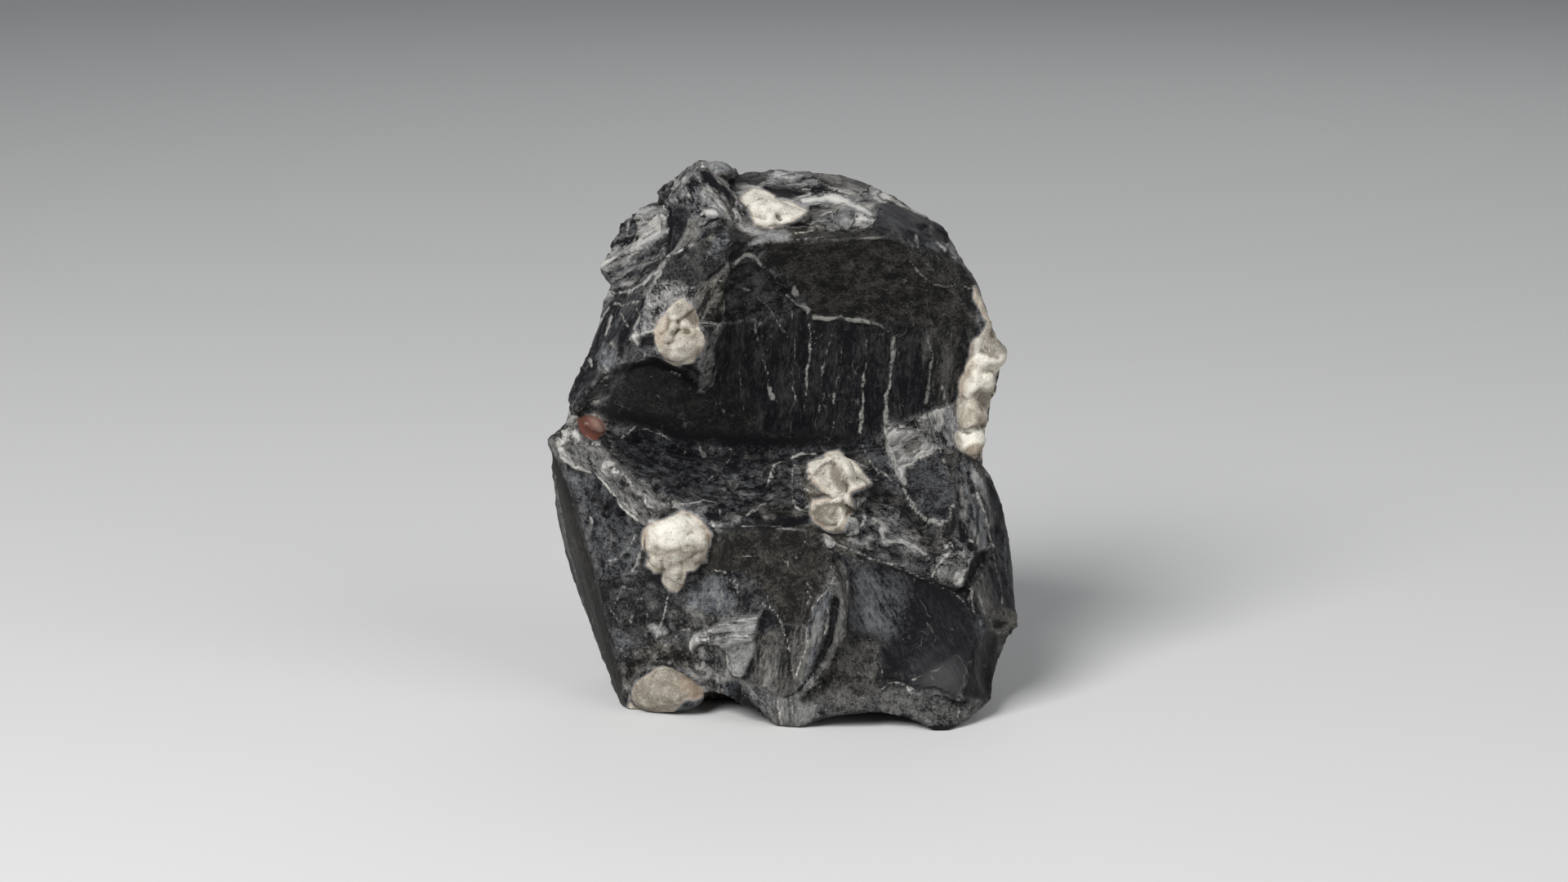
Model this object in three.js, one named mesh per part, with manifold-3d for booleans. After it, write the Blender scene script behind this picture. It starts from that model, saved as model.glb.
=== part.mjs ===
// A hand-sized chunk of snowflake obsidian, standing on a small flat break.
// Millimetres, +Z up. X runs to the right across the front of the stone, and -Y comes out of the front.
// The chunk is joined from a few rough blocks, each the convex hull of its outermost corners. Every flake that
// broke away left a shallow bowl: a ball through three points of the bowl's rim is cut out of the block. The pale
// nodules of cristobalite that grew in the glass stand out of it, and belong to the same solid.
import * as THREE from 'three';
import { ConvexGeometry } from 'three/addons/geometries/ConvexGeometry.js';
import { mergeVertices } from 'three/addons/utils/BufferGeometryUtils.js';
import Module from 'manifold-3d';

const wasm = await Module();
wasm.setup();

const GLASS = { color: 0x1b1c1f, roughness: 0.42, metalness: 0 };
const FACET = 4.3; // edge of the flat facets on a scar
const ORIGIN = [-0.25, 2.76, 0]; // the middle of the stone's box, where the part's own origin goes

// The side that a bowl opens to.
const FRONT = [0, -1, 0];
const BACK = [0, 1, 0];
const LEFT = [-1, 0, 0];
const RIGHT = [1, 0, 0];
const UP = [0, 0, 1];
const DOWN = [0, 0, -1];

// Two scars that bite through the upper block into the back block. The rough blocks say what a scar is.
const GREAT_HOLLOW = [[FRONT, [-7.6, -13.5, 82.5], [19.3, -11.5, 82.7], [11.5, 8, 42.6], 4]];
const HOLLOW_FLOOR = [[FRONT, [-4.9, -9.4, 78.4], [16.9, -4.8, 66.7], [-9.9, 1.5, 55.5], 2.2]];

// The rough blocks: outermost corners, and scars. What all the bowls of a scar have in common is gone. A bowl is
// the side that it opens to, three points of its rim, and how far it sinks below their plane.
const BLOCKS = [
  {
    name: 'lower block',
    corners: [
      [-41, 4, 44.8], [-37, 3, 49.5], [34.7, 2, 41], [34.2, 15, 38], [0, 16, 50], [-34, 13, 48],
      [-24, -14.5, 36], [-12, -18, 34.5], [-1.4, -18.5, 35], [5.5, -20, 33.5], [9.7, -22, 31], [19.7, -10, 34.5],
      [40.5, -10, 15.2], [39.9, -2, 23], [38.6, 2, 33.4], [32, -19.5, 23.3], [35.8, -16, 3.4], [12, -25, 20],
      [12, -25, 12], [1.1, -22, 0], [28.5, -24.5, 0], [-34.8, 1, 14.3], [-28.5, -9, 0], [-26.3, -12, 0],
      [-37.9, 4, 21], [-40.2, 6, 30.5], [-12, -20, 8], [34, 17, 16], [-35, 14, 22], [-27, 14, 0], [26, 12, 0],
    ],
    scars: [
      [[UP, [-14.4, 8, 42.6], [20.1, 6, 42.5], [-2.8, -15, 36.1], 2]], // the shelf
      [[FRONT, [-4, -18.5, 35], [1.5, -22.5, 2], [-10.5, -17.5, 17.8], 4]], // the undercut
      [[FRONT, [10.4, -22, 30.4], [32, -19, 23.2], [22.6, -20.5, 5.3], 4.5]], // the dark bowl
      [ // the toe
        [FRONT, [11.9, -21, 8.2], [33.3, -19.5, 3.3], [28.5, -24.5, -0.6], 0.3],
        [DOWN, [11.9, -21, 8.2], [33.3, -19.5, 3.3], [20, -30, 8], 0.5],
      ],
      [[UP, [15, 2, 41], [25.5, -9, 32.8], [33, 1, 40.5], 1.6]], // the tongue right of the shelf
      [[UP, [7.5, -15, 35], [19, -9, 34.6], [24, -17, 27.5], 0.8]], // the slope over the dark bowl
      [[RIGHT, [40.5, -10, 15.1], [34.3, -17, 15.5], [35.6, -17, 3.4], 3]], // under the spike
      [[FRONT, [-38.5, 1, 45.3], [-23.8, -13, 35.4], [-31.9, -9, 15.5], 1.2]], // the left cheek
      [[FRONT, [-31, -8.6, 22.4], [-10.5, -17.8, 21.4], [-22.6, -14, 10], 2]], // under the cheek
      [[FRONT, [-29, -9, 8.9], [-8, -19, 9], [-19.8, -14, -3], 3]], // over the left foot
      [[DOWN, [-24, -12.8, 0], [-1.5, -21, 0], [-8.6, -5.7, 0], 4.5]], // the arch of the left foot
      [[DOWN, [2.5, -22.3, 0], [26, -24.3, 0], [14, -12, 0], 3]], // the arch of the right foot
    ],
  },
  {
    name: 'upper block',
    corners: [
      [-12.5, -13, 83.2], [-7.6, -14, 83.6], [18.7, -12, 83.4], [32.6, -3, 75], [35.2, -2, 68.8], [38, -1, 60.5],
      [34.8, -2, 47], [34.5, 4, 34], [-36, 6, 38], [-37, 4, 50], [-30.6, 5, 66.3], [-7.8, 7, 92], [-1.4, 10, 92.2],
      [8, 9, 91.4], [18.2, 8, 88], [27.6, 5, 82.3], [-28, 14, 66], [0, 16, 86], [31, 15, 66], [30, 12, 36],
      [-28, 14, 40],
    ],
    scars: [
      GREAT_HOLLOW,
      HOLLOW_FLOOR,
      [[UP, [-12.7, -13, 83.7], [18.7, -12, 83.4], [5.7, 9, 90.7], 1.5]], // the top ledge
    ],
  },
  {
    name: 'back block',
    corners: [
      [-27, 8, 81], [-28.5, 8, 70], [-37, 6, 50], [-39.7, 7, 42], [-39, 8, 32], [-36.5, 6, 20], [-30, 4, 4],
      [-19.5, 6, 89], [-6, 11, 91.5], [10, 11, 90.6], [18, 10, 87.5], [27, 6, 81.5], [32, 3, 75], [34, 5, 64],
      [34.2, 6, 56], [34.6, 6, 38], [35.8, 8, 26], [33, 8, 6], [-30, 17, 8], [-22, 20, 0], [31, 16, 8],
      [22, 18, 0], [-22, 27, 58], [-6, 30, 74], [12, 29, 68], [26, 22, 56], [30, 21, 28], [7, 31, 42],
      [-20, 29, 34], [2, 27, 3],
    ],
    scars: [
      GREAT_HOLLOW,
      HOLLOW_FLOOR,
      [[BACK, [-22, 27, 58], [-6, 30, 74], [12, 29, 68], 2]],
      [[BACK, [12, 29, 68], [26, 22, 56], [7, 31, 42], 2]],
      [[BACK, [-20, 29, 34], [7, 31, 42], [-14, 26, 12], 3.4]],
      [[BACK, [7, 31, 42], [30, 21, 28], [4, 28, 8], 3.2]],
      [[LEFT, [-22, 27, 58], [-20, 29, 34], [-36, 14, 44], 2]],
      [[LEFT, [-20, 29, 34], [-36, 13, 30], [-30, 17, 8], 2.4]],
      [[RIGHT, [26, 22, 56], [30, 21, 28], [34, 9, 46], 1.2]],
      [[UP, [-6, 30, 74], [12, 29, 68], [14, 12.5, 88], 1.6]],
      [[LEFT, [-26, 12, 81], [-22, 27, 58], [-6, 30, 74], 2]],
    ],
  },
  {
    name: 'crown',
    corners: [
      [-14, 2, 94.2], [-9.6, 4, 93], [-19.6, -1, 86.9], [-19.4, -9.5, 78.3], [-11.5, -12.5, 84], [-7.8, 8, 91.6],
      [-22, 8, 88], [-20, 12, 70], [-6, 15, 80],
    ],
    scars: [
      [[FRONT, [-19.4, -7, 81], [-13, -9.8, 86], [-13.5, -11.5, 81], 1.2]],
    ],
  },
  {
    name: 'nose',
    corners: [
      [-30.6, 5, 68], [-37.1, 2, 50], [-29.6, -4.5, 58], [-22.8, -7, 60.5], [-21.5, -7, 75], [-9.7, -9.5, 74.5],
      [-12.4, -12.5, 83], [-8.2, -13, 82.6], [-20, -9, 77.6], [-13.4, 0, 54], [-15.6, -7.5, 60], [-38, 6, 52],
      [-20, 12, 80], [-20, 12, 60], [-8, 5, 70], [-27, 14, 62], [-26, 14, 46],
    ],
    scars: [
      [[DOWN, [-36, 1.5, 51], [-15.4, -6.5, 60], [-14, 4, 50], 3]], // the hollow under the nose
    ],
  },
  {
    name: 'upper left lobe',
    corners: [
      [-23.6, 6, 86.5], [-28, 8, 82.4], [-31.8, 7, 74.8], [-19, 3, 87], [-20, -4, 77], [-30, 6, 71.4],
      [-22.5, -3, 73.2], [-10, 16, 82], [-20, 14, 66],
    ],
    scars: [
      [[LEFT, [-28, 6.5, 82.4], [-30.5, 6, 75], [-21.5, -1.5, 77.5], 1]],
    ],
  },
  {
    name: 'blade',
    corners: [
      [7.2, -21.2, 31.3], [9.7, -23, 27.1], [11.1, -24.6, 19.6], [8.3, -25.2, 12.6], [2.1, -24, 4.9], [1.1, -22.5, 7.6],
      [2.5, -22.3, 14.8], [3.5, -21.8, 21.8], [5.5, -21.3, 27.4], [7.7, -17, 17.7], [4, -18, 6.3], [8.5, -17, 26],
    ],
    scars: [],
  },
];

// The nodules: middle, half-widths, the turn about Z in degrees, the knobs round them and how far these stand out.
const NODULES = [
  { name: 'under the crown', middle: [-18.1, -7.2, 65.6], half: [4.2, 3.8, 4.4], turn: 0, knobs: 3, relief: 0.05 },
  { name: 'wedge over it', middle: [-17.4, -7.6, 70.4], half: [3.3, 2.4, 2.6], turn: 20, knobs: 3, relief: 0.18 },
  { name: 'star on the shelf', middle: [8.8, -8.5, 38.6], half: [4.9, 4.6, 4.6], turn: 8, knobs: 4, relief: 0.26 },
  { name: 'under the star', middle: [8.6, -15.6, 34.6], half: [3.2, 2.6, 2.4], turn: 0, knobs: 3, relief: 0.2 },
  { name: 'left ridge', middle: [-18.4, -14.2, 31.2], half: [5.8, 5, 5], turn: 0, knobs: 3, relief: 0.08 },
  { name: 'its lower lobe', middle: [-17.4, -14.6, 27.2], half: [3, 2.8, 3.9], turn: 0, knobs: 2, relief: 0.12 },
  { name: 'left foot', middle: [-20.4, -12.4, 4.1], half: [6.5, 3.6, 4], turn: -20, knobs: 3, relief: 0.1 },
  { name: 'top ledge', middle: [-2, -3, 85.4], half: [5.4, 4.5, 2.4], turn: 0, knobs: 3, relief: 0.18 },
  { name: 'ring on the ledge', middle: [12.3, -5, 84.8], half: [3, 3, 1.4], turn: 0, knobs: 2, relief: 0.05 },
  { name: 'crown cap', middle: [-11.2, 2.8, 91.8], half: [3, 3, 1.8], turn: 0, knobs: 3, relief: 0.12 },
  { name: 'right shoulder', middle: [35.3, -0.6, 61.2], half: [3, 3.4, 3.4], turn: 0, knobs: 3, relief: 0.12 },
  { name: 'right edge, high', middle: [33.4, -1.2, 56.6], half: [2.6, 2.8, 3.2], turn: 0, knobs: 3, relief: 0.2 },
  { name: 'right edge, middle', middle: [32.6, -1, 50.6], half: [2.4, 2.5, 2.8], turn: 40, knobs: 3, relief: 0.18 },
  { name: 'right edge, low', middle: [32.6, -0.2, 45.6], half: [2.4, 2.5, 2.4], turn: 80, knobs: 3, relief: 0.15 },
  { name: 'red bead', middle: [-33.9, 2.8, 47.4], half: [2.2, 1.7, 1.8], turn: 0, knobs: 1, relief: 0.03 },
  { name: 'high on the back', middle: [-6, 26.4, 66], half: [5, 4, 4.6], turn: 10, knobs: 3, relief: 0.1 },
  { name: 'low on the back', middle: [15, 24, 26], half: [4.2, 3.4, 4], turn: -30, knobs: 4, relief: 0.16 },
  { name: 'back, far side', middle: [-26, 19.5, 42], half: [3.2, 3, 3], turn: 30, knobs: 3, relief: 0.12 },
  { name: 'on the right flank', middle: [34.6, 3, 26], half: [3, 3.4, 3.4], turn: 0, knobs: 2, relief: 0.1 },
];
const NODULE_DETAIL = 0.68; // facets along a nodule's edge, for each millimetre of its half-width
const MOST_DETAIL = 4;

// Small pits where gas bubbles opened at the surface: middle and radius.
const PITS = [
  { middle: [-34, -2.5, 37], radius: 1 },
  { middle: [-31, -5.6, 34], radius: 1.3 },
  { middle: [-28.6, -8.2, 37.5], radius: 0.9 },
  { middle: [-29.5, -8, 28], radius: 1.1 },
  { middle: [-26, -12, 25.5], radius: 0.9 },
  { middle: [-8, -14.5, 36.6], radius: 1.2 },
  { middle: [-5, -16.5, 35.6], radius: 0.9 },
  { middle: [26.5, -15, 29], radius: 1.1 },
  { middle: [0.4, -6.2, 86.7], radius: 0.8 },
];
const PIT_DETAIL = 1;

function vector(p) {
  return new THREE.Vector3(...p);
}

// A three.js geometry as a manifold-3d solid.
function solid(geometry) {
  const bare = new THREE.BufferGeometry().setAttribute('position', geometry.getAttribute('position'));
  if (geometry.index) bare.setIndex(geometry.index);
  const merged = mergeVertices(bare, 1e-4);
  return new wasm.Manifold(new wasm.Mesh({
    numProp: 3,
    vertProperties: merged.getAttribute('position').array,
    triVerts: new Uint32Array(merged.index.array),
  }));
}

// The ball whose surface is the bowl through three points of the rim.
function bowl(opens, rimA, rimB, rimC, hollow) {
  const rim = new THREE.Triangle(vector(rimA), vector(rimB), vector(rimC));
  const normal = rim.getNormal(new THREE.Vector3());
  if (normal.dot(vector(opens)) < 0) normal.negate();
  const ab = rim.b.clone().sub(rim.a);
  const ac = rim.c.clone().sub(rim.a);
  const cross = ab.clone().cross(ac);
  const middle = cross.clone().cross(ab).multiplyScalar(ac.lengthSq())
    .add(ac.clone().cross(cross).multiplyScalar(ab.lengthSq()))
    .divideScalar(2 * cross.lengthSq())
    .add(rim.a);
  const rimRadius = middle.distanceTo(rim.a);
  const height = (rimRadius ** 2 - hollow ** 2) / (2 * hollow); // of the ball's centre over the rim's plane
  const radius = height + hollow;
  const centre = middle.addScaledVector(normal, height);
  const detail = Math.min(45, Math.max(3, Math.round(1.05 * radius / FACET) - 1));
  return solid(new THREE.IcosahedronGeometry(radius, detail).translate(centre.x, centre.y, centre.z));
}

function block({ corners, scars }) {
  const rough = solid(new ConvexGeometry(corners.map(vector)));
  const lost = (scar) => scar.map((rim) => bowl(...rim)).reduce((common, next) => common.intersect(next));
  return scars.reduce((left, scar) => left.subtract(lost(scar)), rough);
}

// A lump whose outline, seen from the front, swells into a few knobs.
function nodule({ middle, half, turn, knobs, relief }) {
  const detail = Math.min(MOST_DETAIL, Math.round(NODULE_DETAIL * Math.max(...half)));
  const geometry = new THREE.IcosahedronGeometry(1, detail);
  const place = geometry.getAttribute('position');
  const point = new THREE.Vector3();
  for (let i = 0; i < place.count; i++) {
    point.fromBufferAttribute(place, i);
    const round = Math.atan2(point.z, point.x);
    const swell = Math.cos(knobs * round + 0.6) * Math.hypot(point.x, point.z) + 0.5 * Math.sin(5 * point.y + knobs);
    point.multiplyScalar(1 + relief * swell);
    place.setXYZ(i, point.x, point.y, point.z);
  }
  geometry.scale(...half).rotateZ(THREE.MathUtils.degToRad(turn)).translate(...middle);
  return solid(geometry);
}

function pit({ middle, radius }) {
  return solid(new THREE.IcosahedronGeometry(radius, PIT_DETAIL).translate(...middle));
}

const glass = BLOCKS.map(block).reduce((all, next) => all.add(next));
const withNodules = NODULES.map(nodule).reduce((all, next) => all.add(next), glass);
const stone = PITS.map(pit).reduce((left, next) => left.subtract(next), withNodules);

const mesh = stone.getMesh();
const geometry = new THREE.BufferGeometry();
geometry.setAttribute('position', new THREE.BufferAttribute(new Float32Array(mesh.vertProperties), 3));
geometry.setIndex(new THREE.BufferAttribute(new Uint32Array(mesh.triVerts), 1));
geometry.translate(-ORIGIN[0], -ORIGIN[1], -ORIGIN[2]);
geometry.computeVertexNormals();
const obsidian = new THREE.Mesh(geometry, new THREE.MeshStandardMaterial(GLASS));
obsidian.name = 'obsidian';

const part = new THREE.Group();
part.add(obsidian);
export default part;
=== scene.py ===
"""A hand-sized chunk of snowflake obsidian.

It is near-black volcanic glass, broken in hollow scars, with chalky nodules. The shape lists are in
millimetres. X runs to the right across the front of the stone, -Y comes out of the front and Z is up. ORIGIN
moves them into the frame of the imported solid. Blender's own objects are in metres.
"""

import itertools
import math

import bmesh
import bpy
import numpy as np
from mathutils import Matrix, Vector
from mathutils.kdtree import KDTree


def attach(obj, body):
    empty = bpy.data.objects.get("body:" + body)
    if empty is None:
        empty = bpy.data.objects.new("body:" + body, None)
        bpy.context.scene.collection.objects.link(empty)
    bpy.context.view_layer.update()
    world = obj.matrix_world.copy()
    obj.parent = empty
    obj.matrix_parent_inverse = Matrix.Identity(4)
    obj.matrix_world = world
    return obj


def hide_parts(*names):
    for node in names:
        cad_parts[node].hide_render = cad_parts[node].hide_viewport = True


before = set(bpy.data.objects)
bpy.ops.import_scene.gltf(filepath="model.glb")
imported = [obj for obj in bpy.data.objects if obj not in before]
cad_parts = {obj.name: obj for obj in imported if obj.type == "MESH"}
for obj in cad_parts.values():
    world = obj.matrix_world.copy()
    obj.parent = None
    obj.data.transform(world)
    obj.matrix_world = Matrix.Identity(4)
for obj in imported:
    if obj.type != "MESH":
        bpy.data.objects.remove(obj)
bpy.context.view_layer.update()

MM = 0.001
ORIGIN = np.array([-0.25, 2.76, 0.0])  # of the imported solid, in the frame of the lists

# Camera
LENS = 85
SENSOR = 36  # width, which with the lens gives the angle of view
CAMERA_AWAY = 645.0
CAMERA_TILT = math.radians(12)
AIM = np.array([0.0, 0.0, 45.5])  # the point that the camera looks at

# The fine surface
SKIN = 0.855  # edge of its quads, which are halved where they face the front
HALVED_UP_TO = -0.2  # where the way out turns this far from the camera, the quads stay whole
FIRST_STEPS = 4  # that settle the whole quads onto the stone
LAST_STEPS = 2  # that settle the halved ones
LONGEST_STEP = 0.6
MOST_RELIEF = 1.6  # that the markings may add or take
EDGE_ROUND = 0.12  # how far a broken edge is blunted
JOIN_ROUND = 0.35  # how softly two blocks or a nodule and the glass run into each other

FRONT = (0, -1, 0)
BACK = (0, 1, 0)
LEFT = (-1, 0, 0)
RIGHT = (1, 0, 0)
UP = (0, 0, 1)
DOWN = (0, 0, -1)


def scar(*bowls, strike=None, ripple=0.04, spacing=2.4):
    """What all the bowls have in common is gone from the block.

    A bowl is the side it opens to, three points of its rim and how far it sinks below their plane. The blow
    fell at strike, and ripples of that height and spacing run out from it.
    """
    return {"bowls": bowls, "strike": strike or bowls[0][1], "ripple": ripple, "spacing": spacing}


GREAT_HOLLOW = scar(
    (FRONT, (-7.6, -13.5, 82.5), (19.3, -11.5, 82.7), (11.5, 8, 42.6), 4),
    strike=(8, -4, 104), ripple=0.05, spacing=5.5)
HOLLOW_FLOOR = scar(
    (FRONT, (-4.9, -9.4, 78.4), (16.9, -4.8, 66.7), (-9.9, 1.5, 55.5), 2.2),
    strike=(-12, -4, 90), ripple=0.04, spacing=4)

BLOCKS = {
    "lower block": {
        "corners": [
            (-41, 4, 44.8), (-37, 3, 49.5), (34.7, 2, 41), (34.2, 15, 38), (0, 16, 50), (-34, 13, 48),
            (-24, -14.5, 36), (-12, -18, 34.5), (-1.4, -18.5, 35), (5.5, -20, 33.5), (9.7, -22, 31),
            (19.7, -10, 34.5), (40.5, -10, 15.2), (39.9, -2, 23), (38.6, 2, 33.4), (32, -19.5, 23.3),
            (35.8, -16, 3.4), (12, -25, 20), (12, -25, 12), (1.1, -22, 0), (28.5, -24.5, 0), (-34.8, 1, 14.3),
            (-28.5, -9, 0), (-26.3, -12, 0), (-37.9, 4, 21), (-40.2, 6, 30.5), (-12, -20, 8), (34, 17, 16),
            (-35, 14, 22), (-27, 14, 0), (26, 12, 0),
        ],
        "scars": {
            "shelf": scar((UP, (-14.4, 8, 42.6), (20.1, 6, 42.5), (-2.8, -15, 36.1), 2), strike=(-4, 14, 44)),
            "undercut": scar((FRONT, (-4, -18.5, 35), (1.5, -22.5, 2), (-10.5, -17.5, 17.8), 4)),
            "dark bowl": scar(
                (FRONT, (10.4, -22, 30.4), (32, -19, 23.2), (22.6, -20.5, 5.3), 4.5), strike=(10, -22, 34),
                ripple=0.03, spacing=3),
            "toe": scar(
                (FRONT, (11.9, -21, 8.2), (33.3, -19.5, 3.3), (28.5, -24.5, -0.6), 0.3),
                (DOWN, (11.9, -21, 8.2), (33.3, -19.5, 3.3), (20, -30, 8), 0.5)),
            "tongue": scar((UP, (15, 2, 41), (25.5, -9, 32.8), (33, 1, 40.5), 1.6), strike=(20, 4, 44)),
            "slope over the dark bowl": scar((UP, (7.5, -15, 35), (19, -9, 34.6), (24, -17, 27.5), 0.8)),
            "under the spike": scar((RIGHT, (40.5, -10, 15.1), (34.3, -17, 15.5), (35.6, -17, 3.4), 3)),
            "left cheek": scar((FRONT, (-38.5, 1, 45.3), (-23.8, -13, 35.4), (-31.9, -9, 15.5), 1.2)),
            "under the cheek": scar((FRONT, (-31, -8.6, 22.4), (-10.5, -17.8, 21.4), (-22.6, -14, 10), 2)),
            "over the left foot": scar((FRONT, (-29, -9, 8.9), (-8, -19, 9), (-19.8, -14, -3), 3)),
            "arch of the left foot": scar((DOWN, (-24, -12.8, 0), (-1.5, -21, 0), (-8.6, -5.7, 0), 4.5)),
            "arch of the right foot": scar((DOWN, (2.5, -22.3, 0), (26, -24.3, 0), (14, -12, 0), 3)),
        },
    },
    "upper block": {
        "corners": [
            (-12.5, -13, 83.2), (-7.6, -14, 83.6), (18.7, -12, 83.4), (32.6, -3, 75), (35.2, -2, 68.8),
            (38, -1, 60.5), (34.8, -2, 47), (34.5, 4, 34), (-36, 6, 38), (-37, 4, 50), (-30.6, 5, 66.3),
            (-7.8, 7, 92), (-1.4, 10, 92.2), (8, 9, 91.4), (18.2, 8, 88), (27.6, 5, 82.3), (-28, 14, 66),
            (0, 16, 86), (31, 15, 66), (30, 12, 36), (-28, 14, 40),
        ],
        "scars": {
            "great hollow": GREAT_HOLLOW,
            "hollow floor": HOLLOW_FLOOR,
            "top ledge": scar((UP, (-12.7, -13, 83.7), (18.7, -12, 83.4), (5.7, 9, 90.7), 1.5)),
        },
    },
    "back block": {
        "corners": [
            (-27, 8, 81), (-28.5, 8, 70), (-37, 6, 50), (-39.7, 7, 42), (-39, 8, 32), (-36.5, 6, 20),
            (-30, 4, 4), (-19.5, 6, 89), (-6, 11, 91.5), (10, 11, 90.6), (18, 10, 87.5), (27, 6, 81.5),
            (32, 3, 75), (34, 5, 64), (34.2, 6, 56), (34.6, 6, 38), (35.8, 8, 26), (33, 8, 6), (-30, 17, 8),
            (-22, 20, 0), (31, 16, 8), (22, 18, 0), (-22, 27, 58), (-6, 30, 74), (12, 29, 68), (26, 22, 56),
            (30, 21, 28), (7, 31, 42), (-20, 29, 34), (2, 27, 3),
        ],
        "scars": {
            "great hollow": GREAT_HOLLOW,
            "hollow floor": HOLLOW_FLOOR,
            "high on the back": scar(
                (BACK, (-22, 27, 58), (-6, 30, 74), (12, 29, 68), 2), ripple=0.12, spacing=3),
            "back, right of it": scar(
                (BACK, (12, 29, 68), (26, 22, 56), (7, 31, 42), 2), ripple=0.1, spacing=3),
            "low on the back": scar(
                (BACK, (-20, 29, 34), (7, 31, 42), (-14, 26, 12), 3.4), ripple=0.14, spacing=3.6),
            "low right back": scar(
                (BACK, (7, 31, 42), (30, 21, 28), (4, 28, 8), 3.2), ripple=0.12, spacing=3.2),
            "left side, high": scar(
                (LEFT, (-22, 27, 58), (-20, 29, 34), (-36, 14, 44), 2), ripple=0.1, spacing=3),
            "left side, low": scar(
                (LEFT, (-20, 29, 34), (-36, 13, 30), (-30, 17, 8), 2.4), ripple=0.1, spacing=3),
            "right side": scar(
                (RIGHT, (26, 22, 56), (30, 21, 28), (34, 9, 46), 1.2), ripple=0.08, spacing=2.8),
            "top of the back": scar(
                (UP, (-6, 30, 74), (12, 29, 68), (14, 12.5, 88), 1.6), ripple=0.1, spacing=3),
            "left shoulder": scar(
                (LEFT, (-26, 12, 81), (-22, 27, 58), (-6, 30, 74), 2), ripple=0.1, spacing=3),
        },
    },
    "crown": {
        "corners": [
            (-14, 2, 94.2), (-9.6, 4, 93), (-19.6, -1, 86.9), (-19.4, -9.5, 78.3), (-11.5, -12.5, 84),
            (-7.8, 8, 91.6), (-22, 8, 88), (-20, 12, 70), (-6, 15, 80),
        ],
        "scars": {
            "crown": scar((FRONT, (-19.4, -7, 81), (-13, -9.8, 86), (-13.5, -11.5, 81), 1.2)),
        },
    },
    "nose": {
        "corners": [
            (-30.6, 5, 68), (-37.1, 2, 50), (-29.6, -4.5, 58), (-22.8, -7, 60.5), (-21.5, -7, 75),
            (-9.7, -9.5, 74.5), (-12.4, -12.5, 83), (-8.2, -13, 82.6), (-20, -9, 77.6), (-13.4, 0, 54),
            (-15.6, -7.5, 60), (-38, 6, 52), (-20, 12, 80), (-20, 12, 60), (-8, 5, 70), (-27, 14, 62),
            (-26, 14, 46),
        ],
        "scars": {
            "under the nose": scar((DOWN, (-36, 1.5, 51), (-15.4, -6.5, 60), (-14, 4, 50), 3)),
        },
    },
    "upper left lobe": {
        "corners": [
            (-23.6, 6, 86.5), (-28, 8, 82.4), (-31.8, 7, 74.8), (-19, 3, 87), (-20, -4, 77), (-30, 6, 71.4),
            (-22.5, -3, 73.2), (-10, 16, 82), (-20, 14, 66),
        ],
        "scars": {
            "lobe": scar((LEFT, (-28, 6.5, 82.4), (-30.5, 6, 75), (-21.5, -1.5, 77.5), 1)),
        },
    },
    "blade": {
        "corners": [
            (7.2, -21.2, 31.3), (9.7, -23, 27.1), (11.1, -24.6, 19.6), (8.3, -25.2, 12.6), (2.1, -24, 4.9),
            (1.1, -22.5, 7.6), (2.5, -22.3, 14.8), (3.5, -21.8, 21.8), (5.5, -21.3, 27.4), (7.7, -17, 17.7),
            (4, -18, 6.3), (8.5, -17, 26),
        ],
        "scars": {},
    },
}

# The nodules: middle, half-widths, turn about Z in degrees, knobs round them and how far these stand out.
NODULES = {
    "under the crown": ((-18.1, -7.2, 65.6), (4.2, 3.8, 4.4), 0, 3, 0.05),
    "wedge over it": ((-17.4, -7.6, 70.4), (3.3, 2.4, 2.6), 20, 3, 0.18),
    "star on the shelf": ((8.8, -8.5, 38.6), (4.9, 4.6, 4.6), 8, 4, 0.26),
    "under the star": ((8.6, -15.6, 34.6), (3.2, 2.6, 2.4), 0, 3, 0.2),
    "left ridge": ((-18.4, -14.2, 31.2), (5.8, 5, 5), 0, 3, 0.08),
    "its lower lobe": ((-17.4, -14.6, 27.2), (3, 2.8, 3.9), 0, 2, 0.12),
    "left foot": ((-20.4, -12.4, 4.1), (6.5, 3.6, 4), -20, 3, 0.1),
    "top ledge": ((-2, -3, 85.4), (5.4, 4.5, 2.4), 0, 3, 0.18),
    "ring on the ledge": ((12.3, -5, 84.8), (3, 3, 1.4), 0, 2, 0.05),
    "crown cap": ((-11.2, 2.8, 91.8), (3, 3, 1.8), 0, 3, 0.12),
    "right shoulder": ((35.3, -0.6, 61.2), (3, 3.4, 3.4), 0, 3, 0.12),
    "right edge, high": ((33.4, -1.2, 56.6), (2.6, 2.8, 3.2), 0, 3, 0.2),
    "right edge, middle": ((32.6, -1, 50.6), (2.4, 2.5, 2.8), 40, 3, 0.18),
    "right edge, low": ((32.6, -0.2, 45.6), (2.4, 2.5, 2.4), 80, 3, 0.15),
    "red bead": ((-33.9, 2.8, 47.4), (2.2, 1.7, 1.8), 0, 1, 0.03),
    "high on the back": ((-6, 26.4, 66), (5, 4, 4.6), 10, 3, 0.1),
    "low on the back": ((15, 24, 26), (4.2, 3.4, 4), -30, 4, 0.16),
    "back, far side": ((-26, 19.5, 42), (3.2, 3, 3), 30, 3, 0.12),
    "on the right flank": ((34.6, 3, 26), (3, 3.4, 3.4), 0, 2, 0.1),
}

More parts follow.
